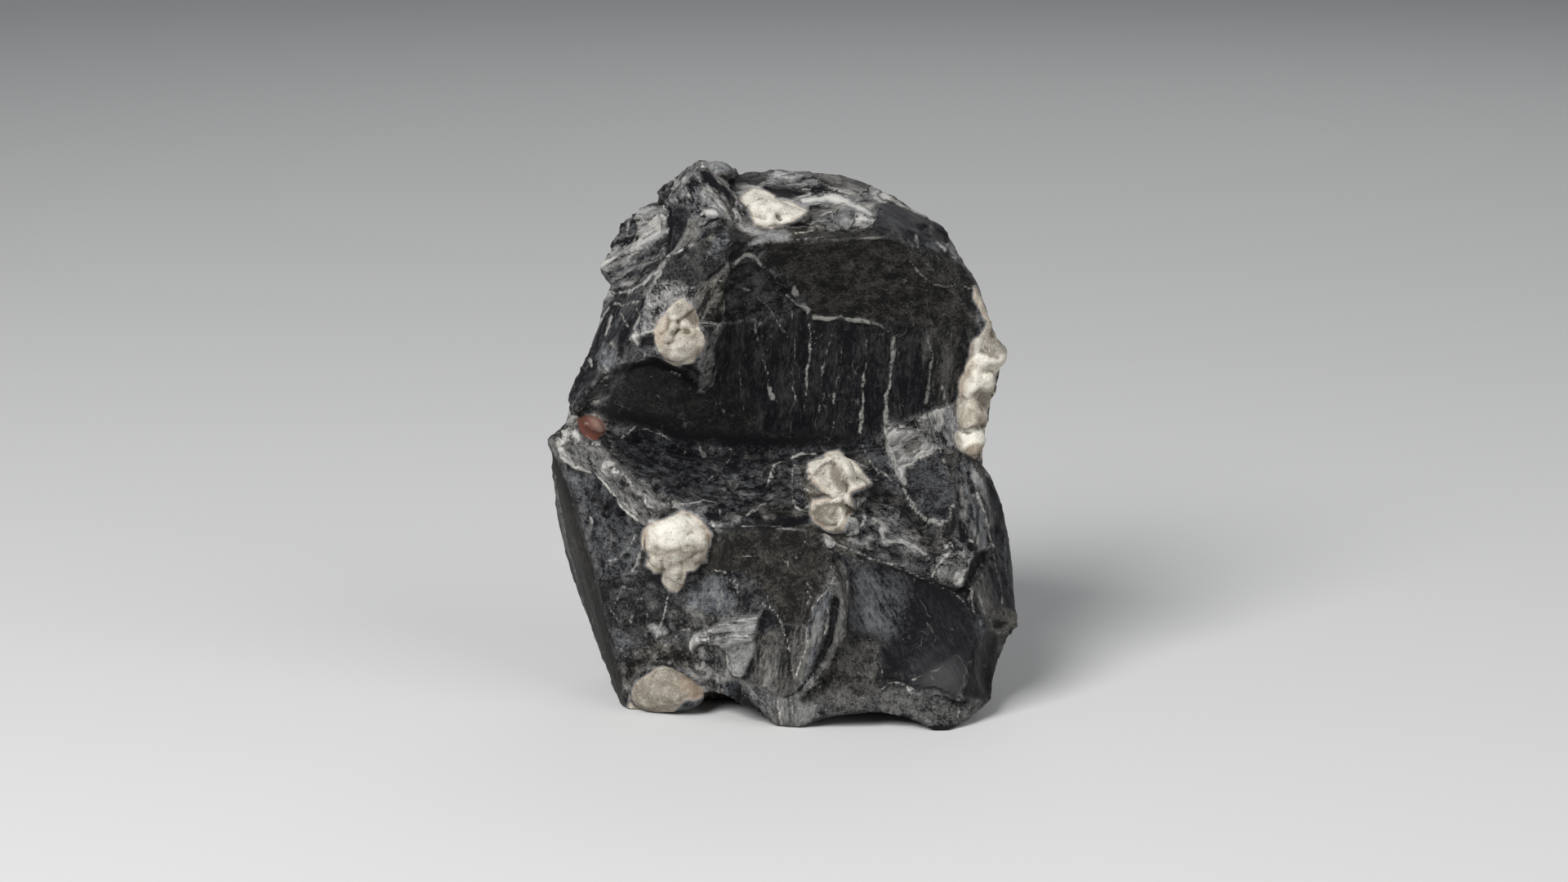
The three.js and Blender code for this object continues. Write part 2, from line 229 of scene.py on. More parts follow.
# Pits where gas bubbles opened at the surface: middle and radius.
PITS = [
    ((-34, -2.5, 37), 1), ((-31, -5.6, 34), 1.3), ((-28.6, -8.2, 37.5), 0.9), ((-29.5, -8, 28), 1.1),
    ((-26, -12, 25.5), 0.9), ((-8, -14.5, 36.6), 1.2), ((-5, -16.5, 35.6), 0.9), ((26.5, -15, 29), 1.1),
    ((0.4, -6.2, 86.7), 0.8),
]


# ---- Numbers over many places at once ------------------------------------------------------------


def soft_max(a, b, blunt):
    """The larger of two fields, with the crease between them rounded off."""
    near = np.maximum(blunt - np.abs(a - b), 0) / blunt
    return np.maximum(a, b) + near * near * blunt / 4


def soft_min(a, b, blunt):
    """The smaller of two fields, with the ridge between them filled in."""
    return -soft_max(-a, -b, blunt)


def rise(low, high, value):
    """0 below low, 1 above high, and smooth between them."""
    share = np.clip((value - low) / (high - low), 0, 1)
    return share * share * (3 - 2 * share)


CELL_FACTORS = (73856093, 19349663, 83492791)  # large odd factors that scatter neighbouring cells
SEED_FACTOR = 2654435
LAST_FACTOR = 1274126177
LOW_BITS = 0x7FFFFFFF
SEED_SHIFT = 31.7  # cells between the grids of two seeds


def cloud(places, size, seed=0):
    """Smooth random values from -1 to 1 that change over about size."""
    grid = places / size + SEED_SHIFT * (seed + 1)
    cell = np.floor(grid).astype(np.int64)
    part = grid - cell
    fade = part * part * part * (part * (part * 6 - 15) + 10)
    total = np.zeros(len(places))
    for corner in itertools.product((0, 1), repeat=3):
        x, y, z = ((cell + corner) * CELL_FACTORS).T
        mixed = x ^ y ^ z ^ (seed * SEED_FACTOR)
        mixed = ((mixed ^ (mixed >> 13)) * LAST_FACTOR) & LOW_BITS
        value = 2 * (mixed ^ (mixed >> 15)) / (LOW_BITS + 1) - 1
        total += value * np.prod(np.where(corner, fade, 1 - fade), axis=1)
    return total


def clouds(places, size, layers, seed=0):
    """Clouds in layers, each half the size and half the strength of the one before."""
    total = sum(cloud(places, size / 2**i, seed + i) / 2**i for i in range(layers))
    return total / (2 - 0.5 ** (layers - 1))


# ---- The exact shape -----------------------------------------------------------------------------


def hull_planes(corners):
    """The outward normals of the faces of the convex hull of the corners, and how far out each face lies."""
    lump = bmesh.new()
    bmesh.ops.convex_hull(lump, input=[lump.verts.new(c) for c in corners])
    middle = Vector(np.mean(corners, axis=0))
    normals = []
    reaches = []
    for face in lump.faces:
        face.normal_update()
        normal = face.normal.copy()
        if normal.dot(face.verts[0].co - middle) < 0:
            normal.negate()
        normals.append(normal)
        reaches.append(normal.dot(face.verts[0].co))
    lump.free()
    return np.array(normals), np.array(reaches)


def bowl_ball(opens, rim_a, rim_b, rim_c, sink):
    """The middle and radius of the ball whose surface is the bowl through three points of the rim."""
    a, b, c = (np.array(p, float) for p in (rim_a, rim_b, rim_c))
    cross = np.cross(b - a, c - a)
    normal = cross / np.linalg.norm(cross)
    if normal @ np.array(opens, float) < 0:
        normal = -normal
    to_middle = np.cross(cross, b - a) * ((c - a) @ (c - a)) + np.cross(c - a, cross) * ((b - a) @ (b - a))
    to_middle /= 2 * cross @ cross
    rim_radius = np.linalg.norm(to_middle)
    height = (rim_radius**2 - sink**2) / (2 * sink)
    return a + to_middle + normal * height, height + sink


for block in BLOCKS.values():
    block["planes"] = hull_planes(block["corners"])
    for each in block["scars"].values():
        each["balls"] = [bowl_ball(*bowl) for bowl in each["bowls"]]


def block_field(places, block):
    """How far places lie outside one block, and which of its scars they lie on, with -1 for none."""
    normals, reaches = block["planes"]
    out = (places @ normals.T - reaches) / EDGE_ROUND
    most = out.max(axis=1)
    field = EDGE_ROUND * (most + np.log(np.exp(out - most[:, None]).sum(axis=1)))
    owner = np.full(len(places), -1)
    for number, each in enumerate(block["scars"].values()):
        depths = [radius - np.linalg.norm(places - middle, axis=1) for middle, radius in each["balls"]]
        inside = np.min(depths, axis=0)
        owner[inside > field] = number
        field = soft_max(field, inside, 2 * EDGE_ROUND)
    return field, owner


def glass_field(places):
    """How far places lie outside the glass, and the block and scar that they lie on."""
    whole = None
    for number, block in enumerate(BLOCKS.values()):
        field, scar_number = block_field(places, block)
        if whole is None:
            whole, owner_block, owner_scar = field, np.zeros(len(places), int), scar_number
            continue
        nearer = field < whole
        owner_block[nearer] = number
        owner_scar[nearer] = scar_number[nearer]
        whole = soft_min(whole, field, JOIN_ROUND)
    return whole, owner_block, owner_scar


def nodule_field(places, middle, half, turn, knobs, relief):
    """How far places lie outside one nodule."""
    across, deep, up = (places - middle).T
    c, s = math.cos(math.radians(turn)), math.sin(math.radians(turn))
    unit = np.stack([across * c + deep * s, deep * c - across * s, up], axis=1) / half
    reach = np.linalg.norm(unit, axis=1) + 1e-9
    way = unit / reach[:, None]
    swell = np.cos(knobs * np.arctan2(way[:, 2], way[:, 0]) + 0.6) * np.hypot(way[:, 0], way[:, 2])
    swell += 0.5 * np.sin(5 * way[:, 1] + knobs)
    return (reach - 1 - relief * swell) * min(half)


def stone_field(places):
    """How far places lie outside the stone."""
    field = glass_field(places)[0]
    for nodule in NODULES.values():
        field = soft_min(field, nodule_field(places, *nodule), JOIN_ROUND)
    for middle, radius in PITS:
        field = soft_max(field, radius - np.linalg.norm(places - middle, axis=1), 2 * EDGE_ROUND)
    return field


def slope(field_of, places, field, step=0.05):
    """Which way, and how fast, a field grows at some places."""
    return np.stack([(field_of(places + step * axis) - field) / step for axis in np.eye(3)], axis=1)


def settle(places, steps):
    """Moves places onto the surface of the stone, and says which way is out there."""
    for _ in range(steps):
        field = stone_field(places)
        way = slope(stone_field, places, field)
        move = (field / np.maximum((way * way).sum(axis=1), 0.2))[:, None] * way
        length = np.linalg.norm(move, axis=1, keepdims=True)
        places = places - move * np.minimum(1, LONGEST_STEP / np.maximum(length, 1e-9))
    return places, way / np.linalg.norm(way, axis=1, keepdims=True)


# ---- Markings of the front -----------------------------------------------------------------------
# Their places are millimetres to the right of and above AIM, in the plane through it that faces the camera.


def patch(bloom, tint, outline, lift=0.0, soft=0.5, mottle=0.5, comb=None, ridged=0.0, ramp=(0, 0)):
    """An area of the surface.

    bloom runs from 0, bare glass, to 1, thick pale dust, and tint from -1, bluish, to 1, brownish. The area
    stands out by lift. Its ramp, a slant in degrees and a height, grows from one side of it to the other. soft
    is the half-width of its border, and mottle is how uneven it is. comb is the slant of its grain in degrees,
    and ridged is the height of the ridges along that.
    """
    return {"bloom": bloom, "tint": tint, "outline": outline, "lift": lift, "soft": soft, "mottle": mottle,
            "comb": comb, "ridged": ridged, "ramp": ramp}


PATCHES = {
    "wall of the great hollow": patch(0.035, 0.35, [
        (-4, 35), (14, 36.6), (22, 34), (28, 33), (33, 29), (34, 26), (33.5, 20), (26, 19.5), (14, 20.5),
        (5, 21), (4, 23.2), (2.5, 26), (0.5, 28.5), (-4.5, 31.5), (-3, 33)], mottle=0.3),
    "hollow, streaked": patch(0.018, 0.0, [
        (5, 21.2), (14, 20.6), (26, 19.6), (34, 20), (31, 7), (24.5, 4.5), (17.5, 3), (16, 0.5), (3, 0.5),
        (-8, 2), (-12, 9), (-12, 16), (-10, 20.3), (-2, 20), (2, 22.5), (4, 23)], mottle=0.22, comb=86),
    "wall, right side": patch(0.05, 0.25, [
        (24, 20), (33.5, 20), (33, 16), (31, 9), (28, 6), (25, 6), (24, 12)], mottle=0.45, comb=80),
    "under the arch": patch(0.055, -0.1, [
        (-8, 30.2), (-5, 31), (-2, 28.8), (0.5, 25.5), (3, 23), (2, 22), (-1, 20), (-10, 20.5), (-10.7, 25),
        (-9.3, 29)], mottle=0.45, lift=-0.9),
    "hollow under the nose": patch(0.012, 0.3, [
        (-26.5, 13.8), (-23, 14.4), (-21, 13.7), (-17, 12.2), (-14.8, 9), (-12, 10), (-5, 5), (-5, 1),
        (-20, 0.8), (-27, 4), (-31, 6.8), (-30, 8.2), (-28, 11)], mottle=0.15),
    "trough": patch(0.0, 0.1, [
        (-34, 5.6), (-30, 7), (-22, 3.8), (-15, 2), (-4, 1.6), (5, 1.4), (12, 1), (12, -0.3), (-5, -1.6),
        (-18, -0.3), (-26, 2.3), (-31, 3.4)], soft=1.2, mottle=0.05),
    "crown": patch(0.24, 0.1, [
        (-23.6, 41), (-21, 45.6), (-17, 48.7), (-14, 50), (-8.6, 49), (-9.5, 46), (-12.5, 45.6), (-10, 43),
        (-7, 40), (-9, 38.5), (-14, 37), (-16, 35.5), (-18, 37), (-20, 41)], mottle=1.3, comb=28, ridged=0.1),
    "crown, left slope": patch(0.18, 0.0, [
        (-23.6, 41), (-21, 45.6), (-16.8, 48.6), (-14.2, 48.8), (-14.4, 47.2), (-19.3, 41.4), (-21, 40.2)],
        mottle=1.5, comb=48, ridged=0.1, ramp=(120, 0.6)),
    "crown, brown hollow": patch(0.0, 0.5, [
        (-23.4, 41.4), (-21.8, 43.4), (-20.6, 41.6), (-21, 40.4)], lift=-0.5, mottle=0.4),
    "crown, front facet": patch(0.14, -0.1, [
        (-14.4, 47.4), (-11.6, 45), (-9.2, 42.6), (-6.2, 40), (-4.4, 38.2), (-9.6, 38), (-12, 39),
        (-16.4, 37.6), (-18.4, 35.2), (-19.7, 38), (-19.3, 41.6)], mottle=1.4, comb=-58, ridged=0.12,
        ramp=(30, 1.0)),
    "crown, right face": patch(0.8, 0.35, [
        (-12.4, 46.4), (-9, 46.3), (-8.2, 43), (-5.2, 39.6), (-5.8, 38.8), (-9.2, 42.8), (-11.6, 45.2)],
        mottle=1.1, lift=-0.3),
    "crown cap": patch(0.5, -0.1, [
        (-14, 48.3), (-13.6, 49.6), (-9.4, 48.6), (-9.3, 46.6), (-10.4, 46.4), (-12.4, 46.5)], mottle=0.5,
        soft=0.4, lift=0.2),
    "crown, pale step": patch(0.8, 0.1, [
        (-13.8, 39.9), (-12.2, 39.8), (-11.4, 38.9), (-13.2, 39)], soft=0.3, lift=0.2),
    "right of the gap": patch(0.02, -0.1, [
        (-19.8, 41), (-17, 40.5), (-16.2, 39), (-17.6, 36), (-19.6, 33), (-20.3, 32)], mottle=0.3, lift=-0.5),
    "pale wedge": patch(0.34, 0.3, [
        (-20.5, 31.5), (-15, 34.2), (-14, 36.5), (-15.5, 38.5), (-17, 37), (-18, 35)], lift=0.1, mottle=0.35,
        ramp=(-70, 0.9)),
    "smooth facet": patch(0.05, 0.15, [
        (-20.6, 31.2), (-15, 33.8), (-12, 34.5), (-9.8, 36.5), (-9.5, 33), (-10, 30.3), (-13, 28),
        (-14, 26.5), (-20, 27), (-21.2, 28.5)], mottle=0.3),
    "blue sheen on it": patch(0.16, -0.4, [
        (-13.5, 31), (-13, 34), (-11, 36.4), (-9.8, 36.5), (-9.6, 34.5), (-11.5, 33), (-12, 31.5)], soft=0.8,
        mottle=0.7),
    "dark notch beside it": patch(0.01, 0.3, [
        (-9.7, 31.2), (-9.5, 36.6), (-7.2, 38), (-4.6, 36.2), (-6.4, 34.6), (-7.4, 32.6), (-8.6, 31.4)],
        mottle=0.5, lift=-0.4),
    "upper left lobe": patch(0.09, 0.0, [
        (-25, 40.2), (-20.5, 39.6), (-20.3, 33), (-21, 31), (-22, 28), (-25, 26), (-28.5, 25.3), (-30.5, 27),
        (-30.8, 29.5), (-32.4, 30), (-31.4, 32.4), (-28.9, 35), (-28.6, 38), (-26.5, 39.6)], mottle=1.5,
        comb=30, ridged=0.24),
    "lobe, top": patch(0.5, 0.1, [
        (-25.2, 40.6), (-21, 41), (-20.5, 40), (-23, 38), (-25.3, 38.8)], mottle=0.6, comb=20, ridged=0.2,
        ramp=(-80, 0.6)),
    "lobe, dark knob": patch(0.05, -0.1, [
        (-28.5, 35.4), (-28, 38.6), (-26, 39), (-25.4, 37), (-26.4, 35.6)], mottle=0.9, lift=0.3),
    "lobe, pale fold": patch(0.66, 0.1, [
        (-32, 30), (-29.6, 32.6), (-27.6, 34), (-23, 36), (-20.8, 37.8), (-20.7, 36.4), (-23.6, 34),
        (-27, 32), (-30.4, 30)], mottle=1, comb=32, ridged=0.2, ramp=(-60, 0.7)),
    "lobe, dark fold": patch(0.09, -0.35, [
        (-30.4, 30.2), (-27.5, 30.8), (-25, 32.1), (-22, 33.2), (-21.2, 31.5), (-24, 30), (-27, 27.5),
        (-30.2, 28.6)], lift=-0.7, mottle=1.2, comb=30, ridged=0.2),
    "top ledge": patch(0.17, 0.0, [
        (-9, 46.2), (-7, 48.6), (0, 47.6), (5, 46.5), (7, 47.3), (13, 46), (17.5, 43.8), (19, 42.2),
        (16, 39.5), (16.3, 38.3), (14, 36.8), (6, 36.8), (3.5, 37.3), (-5, 37.2), (-7, 40), (-10, 44)],
        mottle=1.6, comb=4, ridged=0.06),
    "ledge, dark back": patch(0.02, 0.1, [
        (-11.7, 46.3), (-5, 47.4), (-2.5, 46.6), (-3, 45.2), (-5, 44.2), (-9.5, 44.5)], lift=-0.3, mottle=0.9,
        comb=8),
    "ledge, dark middle": patch(0.0, 0.1, [
        (-3.5, 44.6), (0.5, 44), (5, 43), (4.5, 42.4), (0.5, 41.9), (-1.5, 42.3), (-4, 43.8)], lift=-0.3,
        mottle=0.6, comb=0),
    "ledge, dark front": patch(0.12, 0.3, [
        (0, 39), (4, 40.3), (9, 41), (9.6, 40), (6, 38.3), (1, 37.8)], mottle=0.5, comb=10),
    "ledge, white band": patch(0.95, 0.0, [
        (2.5, 41.8), (7, 42.9), (10.5, 42.5), (13.5, 41.1), (16, 39.4), (15, 38.6), (12, 40.4), (9, 41.3),
        (3, 41)], mottle=0.8, soft=0.9),
    "ledge, white back": patch(0.75, 0.0, [
        (-1.5, 45.8), (2, 46.6), (4.2, 46.4), (1, 44.9)], mottle=0.9, soft=0.8),
    "ledge, white corner": patch(0.9, 0.05, [(16, 43.2), (17.5, 44), (18.8, 42), (17, 41.7)], mottle=0.4),
    "ledge, bumps at the back": patch(0.05, 0.3, [
        (5.8, 47.6), (9.4, 47), (13.6, 46), (15, 44), (13, 42.6), (9.6, 43), (8.6, 43.6), (6.2, 44.2)],
        mottle=1.5, lift=0.35, comb=-20),
    "ledge, ring": patch(0.3, -0.1, [
        (8.5, 39), (9, 40.3), (10.5, 40.9), (12, 40.2), (12.5, 38.8), (11.7, 37.4), (10.2, 37), (8.9, 37.7)],
        mottle=0.5, lift=0.35),
    "pale strip under the ledge": patch(0.55, 0.0, [
        (-7.6, 38), (-4, 36.6), (0, 36.9), (1.5, 36.3), (1, 35), (-3.5, 35), (-5.5, 34.2), (-6.2, 34.5),
        (-4.6, 35.6), (-8, 37.7)], mottle=0.35),
    "right shoulder slope": patch(0.02, -0.2, [
        (16, 41), (20, 41.6), (25, 39.2), (28.6, 37.4), (28.4, 34), (25, 35), (23.2, 33.3), (19, 35.5),
        (15.5, 37), (16.5, 39)], mottle=0.8, comb=-32, ridged=0.2),
    "shoulder, pits": patch(0.0, 0.0, [(23.4, 37.2), (24.9, 37.6), (25.2, 36.6), (23.8, 36.4)], lift=-0.5),
    "right rim": patch(0.25, 0.0, [
        (28.3, 34.2), (29.3, 35.2), (33.6, 30.6), (34, 28), (33.3, 27.6), (32, 29.5), (29.3, 31.8)],
        mottle=1.1, comb=-50),
    "above the first nodule": patch(0.17, 0.5, [
        (-14.5, 27), (-10.5, 29.6), (-9.5, 30), (-10.6, 27), (-11, 23), (-11.5, 20.5), (-15.3, 20.2),
        (-15.8, 24)], mottle=0.9, comb=60, lift=0.3),
    "toothed tongue": patch(0.22, 0.1, [
        (-15, 20.3), (-11.3, 20.3), (-12.5, 16), (-12.2, 12), (-12.5, 10), (-13.2, 10), (-14.2, 8.4),
        (-14.8, 8.6), (-14.8, 12)], lift=0.6, soft=0.25, mottle=0.6),
    "left of the first nodule": patch(0.42, 0.1, [
        (-24.3, 25.6), (-20, 28), (-15.4, 26.6), (-15.5, 22), (-18, 24.6), (-20, 22.8), (-22, 20.3),
        (-26.8, 17.3), (-27.3, 18), (-25, 19.5), (-24.6, 21.5)], mottle=1.2),
    "notch under it": patch(0.01, 0.0, [
        (-25.3, 17.8), (-22.6, 18.4), (-22, 16), (-25, 16.2)], lift=-0.6, mottle=0.1),
    "left slope": patch(0.03, -0.1, [
        (-32.6, 20.5), (-30.5, 24), (-28.5, 25.8), (-24, 25.2), (-27, 18), (-25, 15), (-27, 13), (-29.8, 8.3),
        (-33, 7), (-38, 6), (-37, 10), (-35, 14)], mottle=0.8, comb=58, ridged=0.08),
    "slope, grey cloud": patch(0.26, -0.3, [
        (-32.2, 13.2), (-31.8, 16), (-30.3, 16.8), (-29, 15.5), (-29.3, 13), (-30.6, 11.8)], soft=1.1,
        mottle=0.5),
    "round the bead": patch(0.14, 0.2, [
        (-41, 1.4), (-38.3, 4.5), (-37.4, 6.4), (-35, 5.5), (-31, 3.6), (-30, 0), (-30.5, -3), (-34, -2.5),
        (-39, -2), (-41, -1)], mottle=1.0),
    "cheek ridge": patch(0.25, 0.15, [
        (-39.4, -1), (-38.2, -3), (-35.5, -4.8), (-32.5, -5.3), (-30.5, -7.5), (-28, -11), (-26.5, -12.8),
        (-24, -14.7), (-22, -14.7), (-21.5, -12.5), (-20, -11.5), (-24, -8.3), (-27, -5.8), (-30, -3.3),
        (-31, -1)], lift=0.1, mottle=0.9, comb=-45, ramp=(-135, 0.8)),
    "cheek": patch(0.12, -0.2, [
        (-38.4, -5), (-34, -5.4), (-31, -7.6), (-26.5, -13), (-24, -15), (-25, -18), (-25, -23.3), (-29, -24),
        (-32.2, -24.2), (-34, -20), (-36, -11)], mottle=0.45),
    "cheek, bubbled": patch(0.065, -0.3, [
        (-33, -6), (-31, -8), (-27, -12.8), (-27, -16), (-30, -15.4), (-33, -14.8), (-33.6, -11)], soft=0.9,
        mottle=0.45),
    "left flank": patch(0.01, 0.5, [
        (-40.4, -2), (-38.4, -5), (-35.2, -15), (-32.2, -24.5), (-29.6, -36), (-27, -46.2), (-28.6, -48),
        (-34, -33), (-39, -20), (-41.5, -9)], mottle=0.3, comb=-74, ridged=0.05),
    "shelf": patch(0.055, -0.15, [
        (-28, 0), (-5, -1.6), (5, -1.6), (7, -2), (4, -4), (1.5, -5), (1, -12), (-4, -11), (-9, -14),
        (-12, -15), (-14, -11.2), (-19, -10.6), (-25, -6.5)], mottle=0.6),
    "shelf, smooth": patch(0.02, -0.3, [
        (-31, 1.2), (-27, 2), (-20, -0.5), (-8, -2.5), (0, -3), (0, -5), (-8, -5.6), (-16, -5.2), (-24, -4.8),
        (-28, -3.6)], mottle=0.6, soft=1.5),
    "shelf, bubbled": patch(0.07, -0.2, [
        (-10.5, -7), (-7, -6.5), (-5.2, -8.5), (-6, -11.5), (-9.5, -11.8), (-11, -9.5)], soft=0.9,
        mottle=0.9),
    "shelf, dark dome": patch(0.05, 0.0, [
        (-3.8, -5), (-1.5, -4), (0.6, -4.3), (1, -7), (1.2, -10), (0.6, -12), (-1.5, -11), (-3.2, -9.9)],
        lift=0.8, mottle=0.7),
    "strip by the star": patch(0.1, -0.1, [
        (1, -4.8), (2.4, -4.8), (4, -8), (4.8, -11), (3.2, -12.4), (2, -12), (1, -9)], lift=-0.15,
        mottle=0.7),
    "brown beside the star": patch(0.2, 0.9, [
        (3.4, -6.4), (4, -6.3), (6.2, -8.2), (8.4, -9.7), (6.8, -10), (4.3, -10.8), (3, -9)], lift=-0.6,
        mottle=0.4),
    "lip of the shelf": patch(0.005, 0.1, [
        (-12.4, -15.2), (-8, -14.3), (-4.6, -12.2), (-3.5, -13.3), (1, -13.3), (4.2, -12.9), (4.6, -14.5),
        (-2, -15.6), (-9, -16.2)], mottle=0.2, lift=-0.3),
    "foot of the fan": patch(0.03, 0.7, [
        (5.6, -14.6), (8.4, -15.4), (10.2, -14.9), (9.4, -16.2), (6.4, -16.2)], soft=0.3, mottle=0.6),
    "undercut": patch(0.035, 0.55, [
        (-12.6, -16.2), (-3, -15.6), (4.8, -14.8), (6.5, -17), (7.5, -19), (9.4, -20), (5, -29.3), (4.2, -32),
        (0, -32), (-1.5, -29), (-3, -27), (-5, -24), (-9, -22.6), (-13.5, -23)], mottle=0.4),
    "under the star": patch(0.1, 0.1, [
        (6.2, -16.5), (8, -16.5), (9.2, -17.9), (8.2, -18.6), (6.9, -18.2)], lift=0.2, mottle=0.7),
    "tongue": patch(0.085, -0.2, [
        (10, -2), (13, -2), (15, -4), (20.5, -7.7), (24, -12), (26, -14.6), (28, -15), (29.3, -13), (30, -11),
        (29.8, -9), (28.5, -5), (27, -2), (24, -2.5), (22, -4.5), (20, -4.5), (18, -1)], mottle=0.35,
        ramp=(-50, 0.7)),
    "over the tongue": patch(0.13, 0.1, [
        (16, 1), (17.6, 4), (20, 3.2), (24, 4.8), (27, 5.9), (30.2, 6.6), (30.8, 2), (30.3, -1), (27, -1.8),
        (25.5, -2.5), (23, -3.2), (22.5, -4.5), (20.3, -4.6), (19.5, -6.2), (18.4, -3)], lift=0.15,
        mottle=1.3, soft=0.9),
    "over the tongue, slab": patch(0.4, -0.05, [
        (24.6, 5), (27, 5.7), (29.7, 6.6), (30.6, 3), (30.4, -0.4), (27.2, -1.5), (26, 1.2)], lift=0.25,
        soft=0.35, mottle=1.1, comb=-70, ridged=0.1),
    "over the tongue, fan": patch(0.5, 0.1, [
        (17.8, 1.2), (19.2, 2.4), (21.8, 2.4), (24.4, 0.8), (26.6, -1.3), (25.2, -2.4), (23.4, -2.9),
        (22.4, -4.2), (21.2, -5), (20.5, -7.6), (19.2, -4.8), (18, -2)], lift=0.25, soft=0.35, mottle=1.1,
        comb=40, ridged=0.15, ramp=(120, 0.5)),
    "over the tongue, its brown middle": patch(0.22, 0.35, [
        (20.6, -0.2), (22.6, 0.6), (24.4, -0.8), (23.6, -2.2), (22, -2.6), (20.8, -2)], lift=-0.3, soft=0.6,
        mottle=0.7, comb=40),
    "over the tongue, dark": patch(0.005, 0.0, [(15.3, 2.7), (17, 4.6), (17.3, 1.5), (16.4, 0)], mottle=0.2),
    "channel under the tongue": patch(0.03, 0.3, [
        (12, -9.8), (14, -8.2), (18, -8), (21, -9.3), (24, -13), (26, -15.6), (27.8, -15.9), (28.8, -14.8),
        (29.8, -13), (30, -14), (28.8, -17.5), (27, -18), (24, -16.6), (21, -12), (17, -10.6), (13, -10.6)],
        lift=-1.0, mottle=0.8),
    "mottled slope": patch(0.145, 0.0, [
        (10, -10.3), (12, -10.2), (15, -10.5), (20, -12), (21, -15), (21.4, -16.5), (25, -19.5), (24, -20.6),
        (20, -19.2), (17, -18.7), (14, -19), (11, -17.5), (10, -15)], mottle=0.65, lift=0.2),
    "slope over the bowl": patch(0.055, -0.1, [
        (11, -17.6), (14, -19.1), (17, -18.8), (24, -20.8), (27, -20.2), (25, -23.8), (20, -21.9),
        (14, -20.2), (10, -18.5)], mottle=0.6),
    "dark bowl": patch(0.006, -0.15, [
        (10.4, -20), (14, -20.6), (20, -22.3), (25, -24.3), (30, -26.3), (33.2, -29), (34, -37), (34.6, -45),
        (30.5, -44.6), (27, -43.2), (20, -42.3), (17, -40.5), (16, -37), (15, -35), (11, -33), (11.5, -27)],
        mottle=0.2, comb=-60, soft=0.6),
    "bowl, sheen": patch(0.18, -0.35, [
        (11.5, -21), (19, -22.8), (21, -27), (20.6, -32), (18, -33.6), (13, -33), (11.7, -30)], soft=2.6,
        mottle=0.4, comb=-62, ridged=0.12),
    "bowl, blue glow": patch(0.012, -0.6, [
        (20.5, -33), (25, -32.5), (26, -35.5), (22, -36.5), (20, -35)], soft=2.6, mottle=0.2),
    "bowl, lower left": patch(0.085, 0.35, [
        (8, -33), (14, -33.6), (17, -35), (16.4, -38.5), (17.6, -41.8), (20, -42.6), (14, -45), (8, -47.4),
        (3.4, -44.2), (6.5, -39)], soft=2.0, mottle=0.45),
    "bowl, dark hole": patch(0.0, 0.4, [
        (17.3, -39.8), (19.5, -39.7), (20.3, -41.6), (17.6, -41.3)], lift=-0.5),
    "toe": patch(0.15, 0.15, [
        (11, -44.6), (17, -44.2), (20, -43.1), (24, -43.9), (27, -43.6), (31, -45.1), (34.6, -46),
        (31.8, -48.4), (29, -52), (24, -50.8), (14, -49), (8, -48.4), (5, -49)], mottle=0.35, soft=0.35),
    "right of the tongue": patch(0.06, -0.2, [
        (30.3, -1), (32, -1.4), (35, -8.5), (36.5, -15), (36.6, -17.5), (33, -20), (30, -17.3), (30, -13),
        (29.8, -9)], mottle=0.95, comb=-78),
    "pale corner by it": patch(0.13, 0.1, [
        (25.4, -20.4), (28, -18), (30, -18.8), (32.2, -22.6), (31.2, -25.3), (28, -25), (25, -23.4)],
        mottle=0.9, lift=0.6),
    "dark gap": patch(0.01, 0.4, [
        (36.2, -18.8), (33.5, -19.6), (32.3, -22.2), (31.3, -25.4), (30, -26.6), (31.6, -27.6), (34, -23.6),
        (36.2, -20.6)], lift=-1.2, mottle=0.2),
    "right flank": patch(0.03, -0.2, [
        (35, -6.4), (39, -10), (39.6, -15), (40.4, -24), (41.2, -29.6), (36, -29.2), (34.2, -25),
        (36.7, -18.6), (36.6, -14)], mottle=0.6, comb=-82, ridged=0.05),
    "by the gap": patch(0.055, 0.2, [
        (32, -26.6), (34, -23.8), (36.2, -21), (36.3, -29), (35.2, -33), (34.6, -31), (33, -30)], mottle=0.6,
        comb=-80),
    "spike": patch(0.17, 0.45, [
        (36, -28.8), (39, -29.2), (41.6, -31.2), (40.4, -32.4), (38, -33.7), (36, -34.4), (35.3, -31)],
        mottle=0.35),
    "bite in the spike": patch(0.01, 0.4, [
        (35.8, -30.8), (38.8, -31.7), (38, -32.9), (36.5, -32.7)], lift=-0.5, soft=0.4),
    "flank under the spike": patch(0.005, 0.1, [
        (35, -33), (37.3, -34), (37, -37), (36.8, -43), (36.3, -46), (34.4, -45), (34.2, -37)], mottle=0.4,
        comb=88),
    "under the cheek": patch(0.035, 0.1, [
        (-32.2, -24), (-25, -23.7), (-21, -25.3), (-17, -24), (-16.6, -29), (-17.5, -33), (-20, -34.6),
        (-27, -35.2), (-29.3, -39), (-30.8, -33)], mottle=0.6),
    "under it, grey cloud": patch(0.22, -0.5, [
        (-29.6, -33.4), (-28.4, -32.8), (-27, -34), (-27.4, -36.8), (-28.8, -37.4), (-29.6, -36)], soft=1.2,
        mottle=0.5),
    "under it, white cloud": patch(0.55, 0.0, [
        (-23.4, -32.2), (-21.2, -31.8), (-20.4, -33), (-22, -34), (-23, -33.4)], mottle=0.7),
    "grey plate": patch(0.185, -0.35, [
        (-16.8, -23.4), (-12, -23.6), (-9.7, -23.2), (-8.7, -30.2), (-10, -31), (-12, -31), (-17, -29)],
        lift=-0.6, soft=0.3, mottle=0.45),
    "over the plate": patch(0.02, 0.6, [
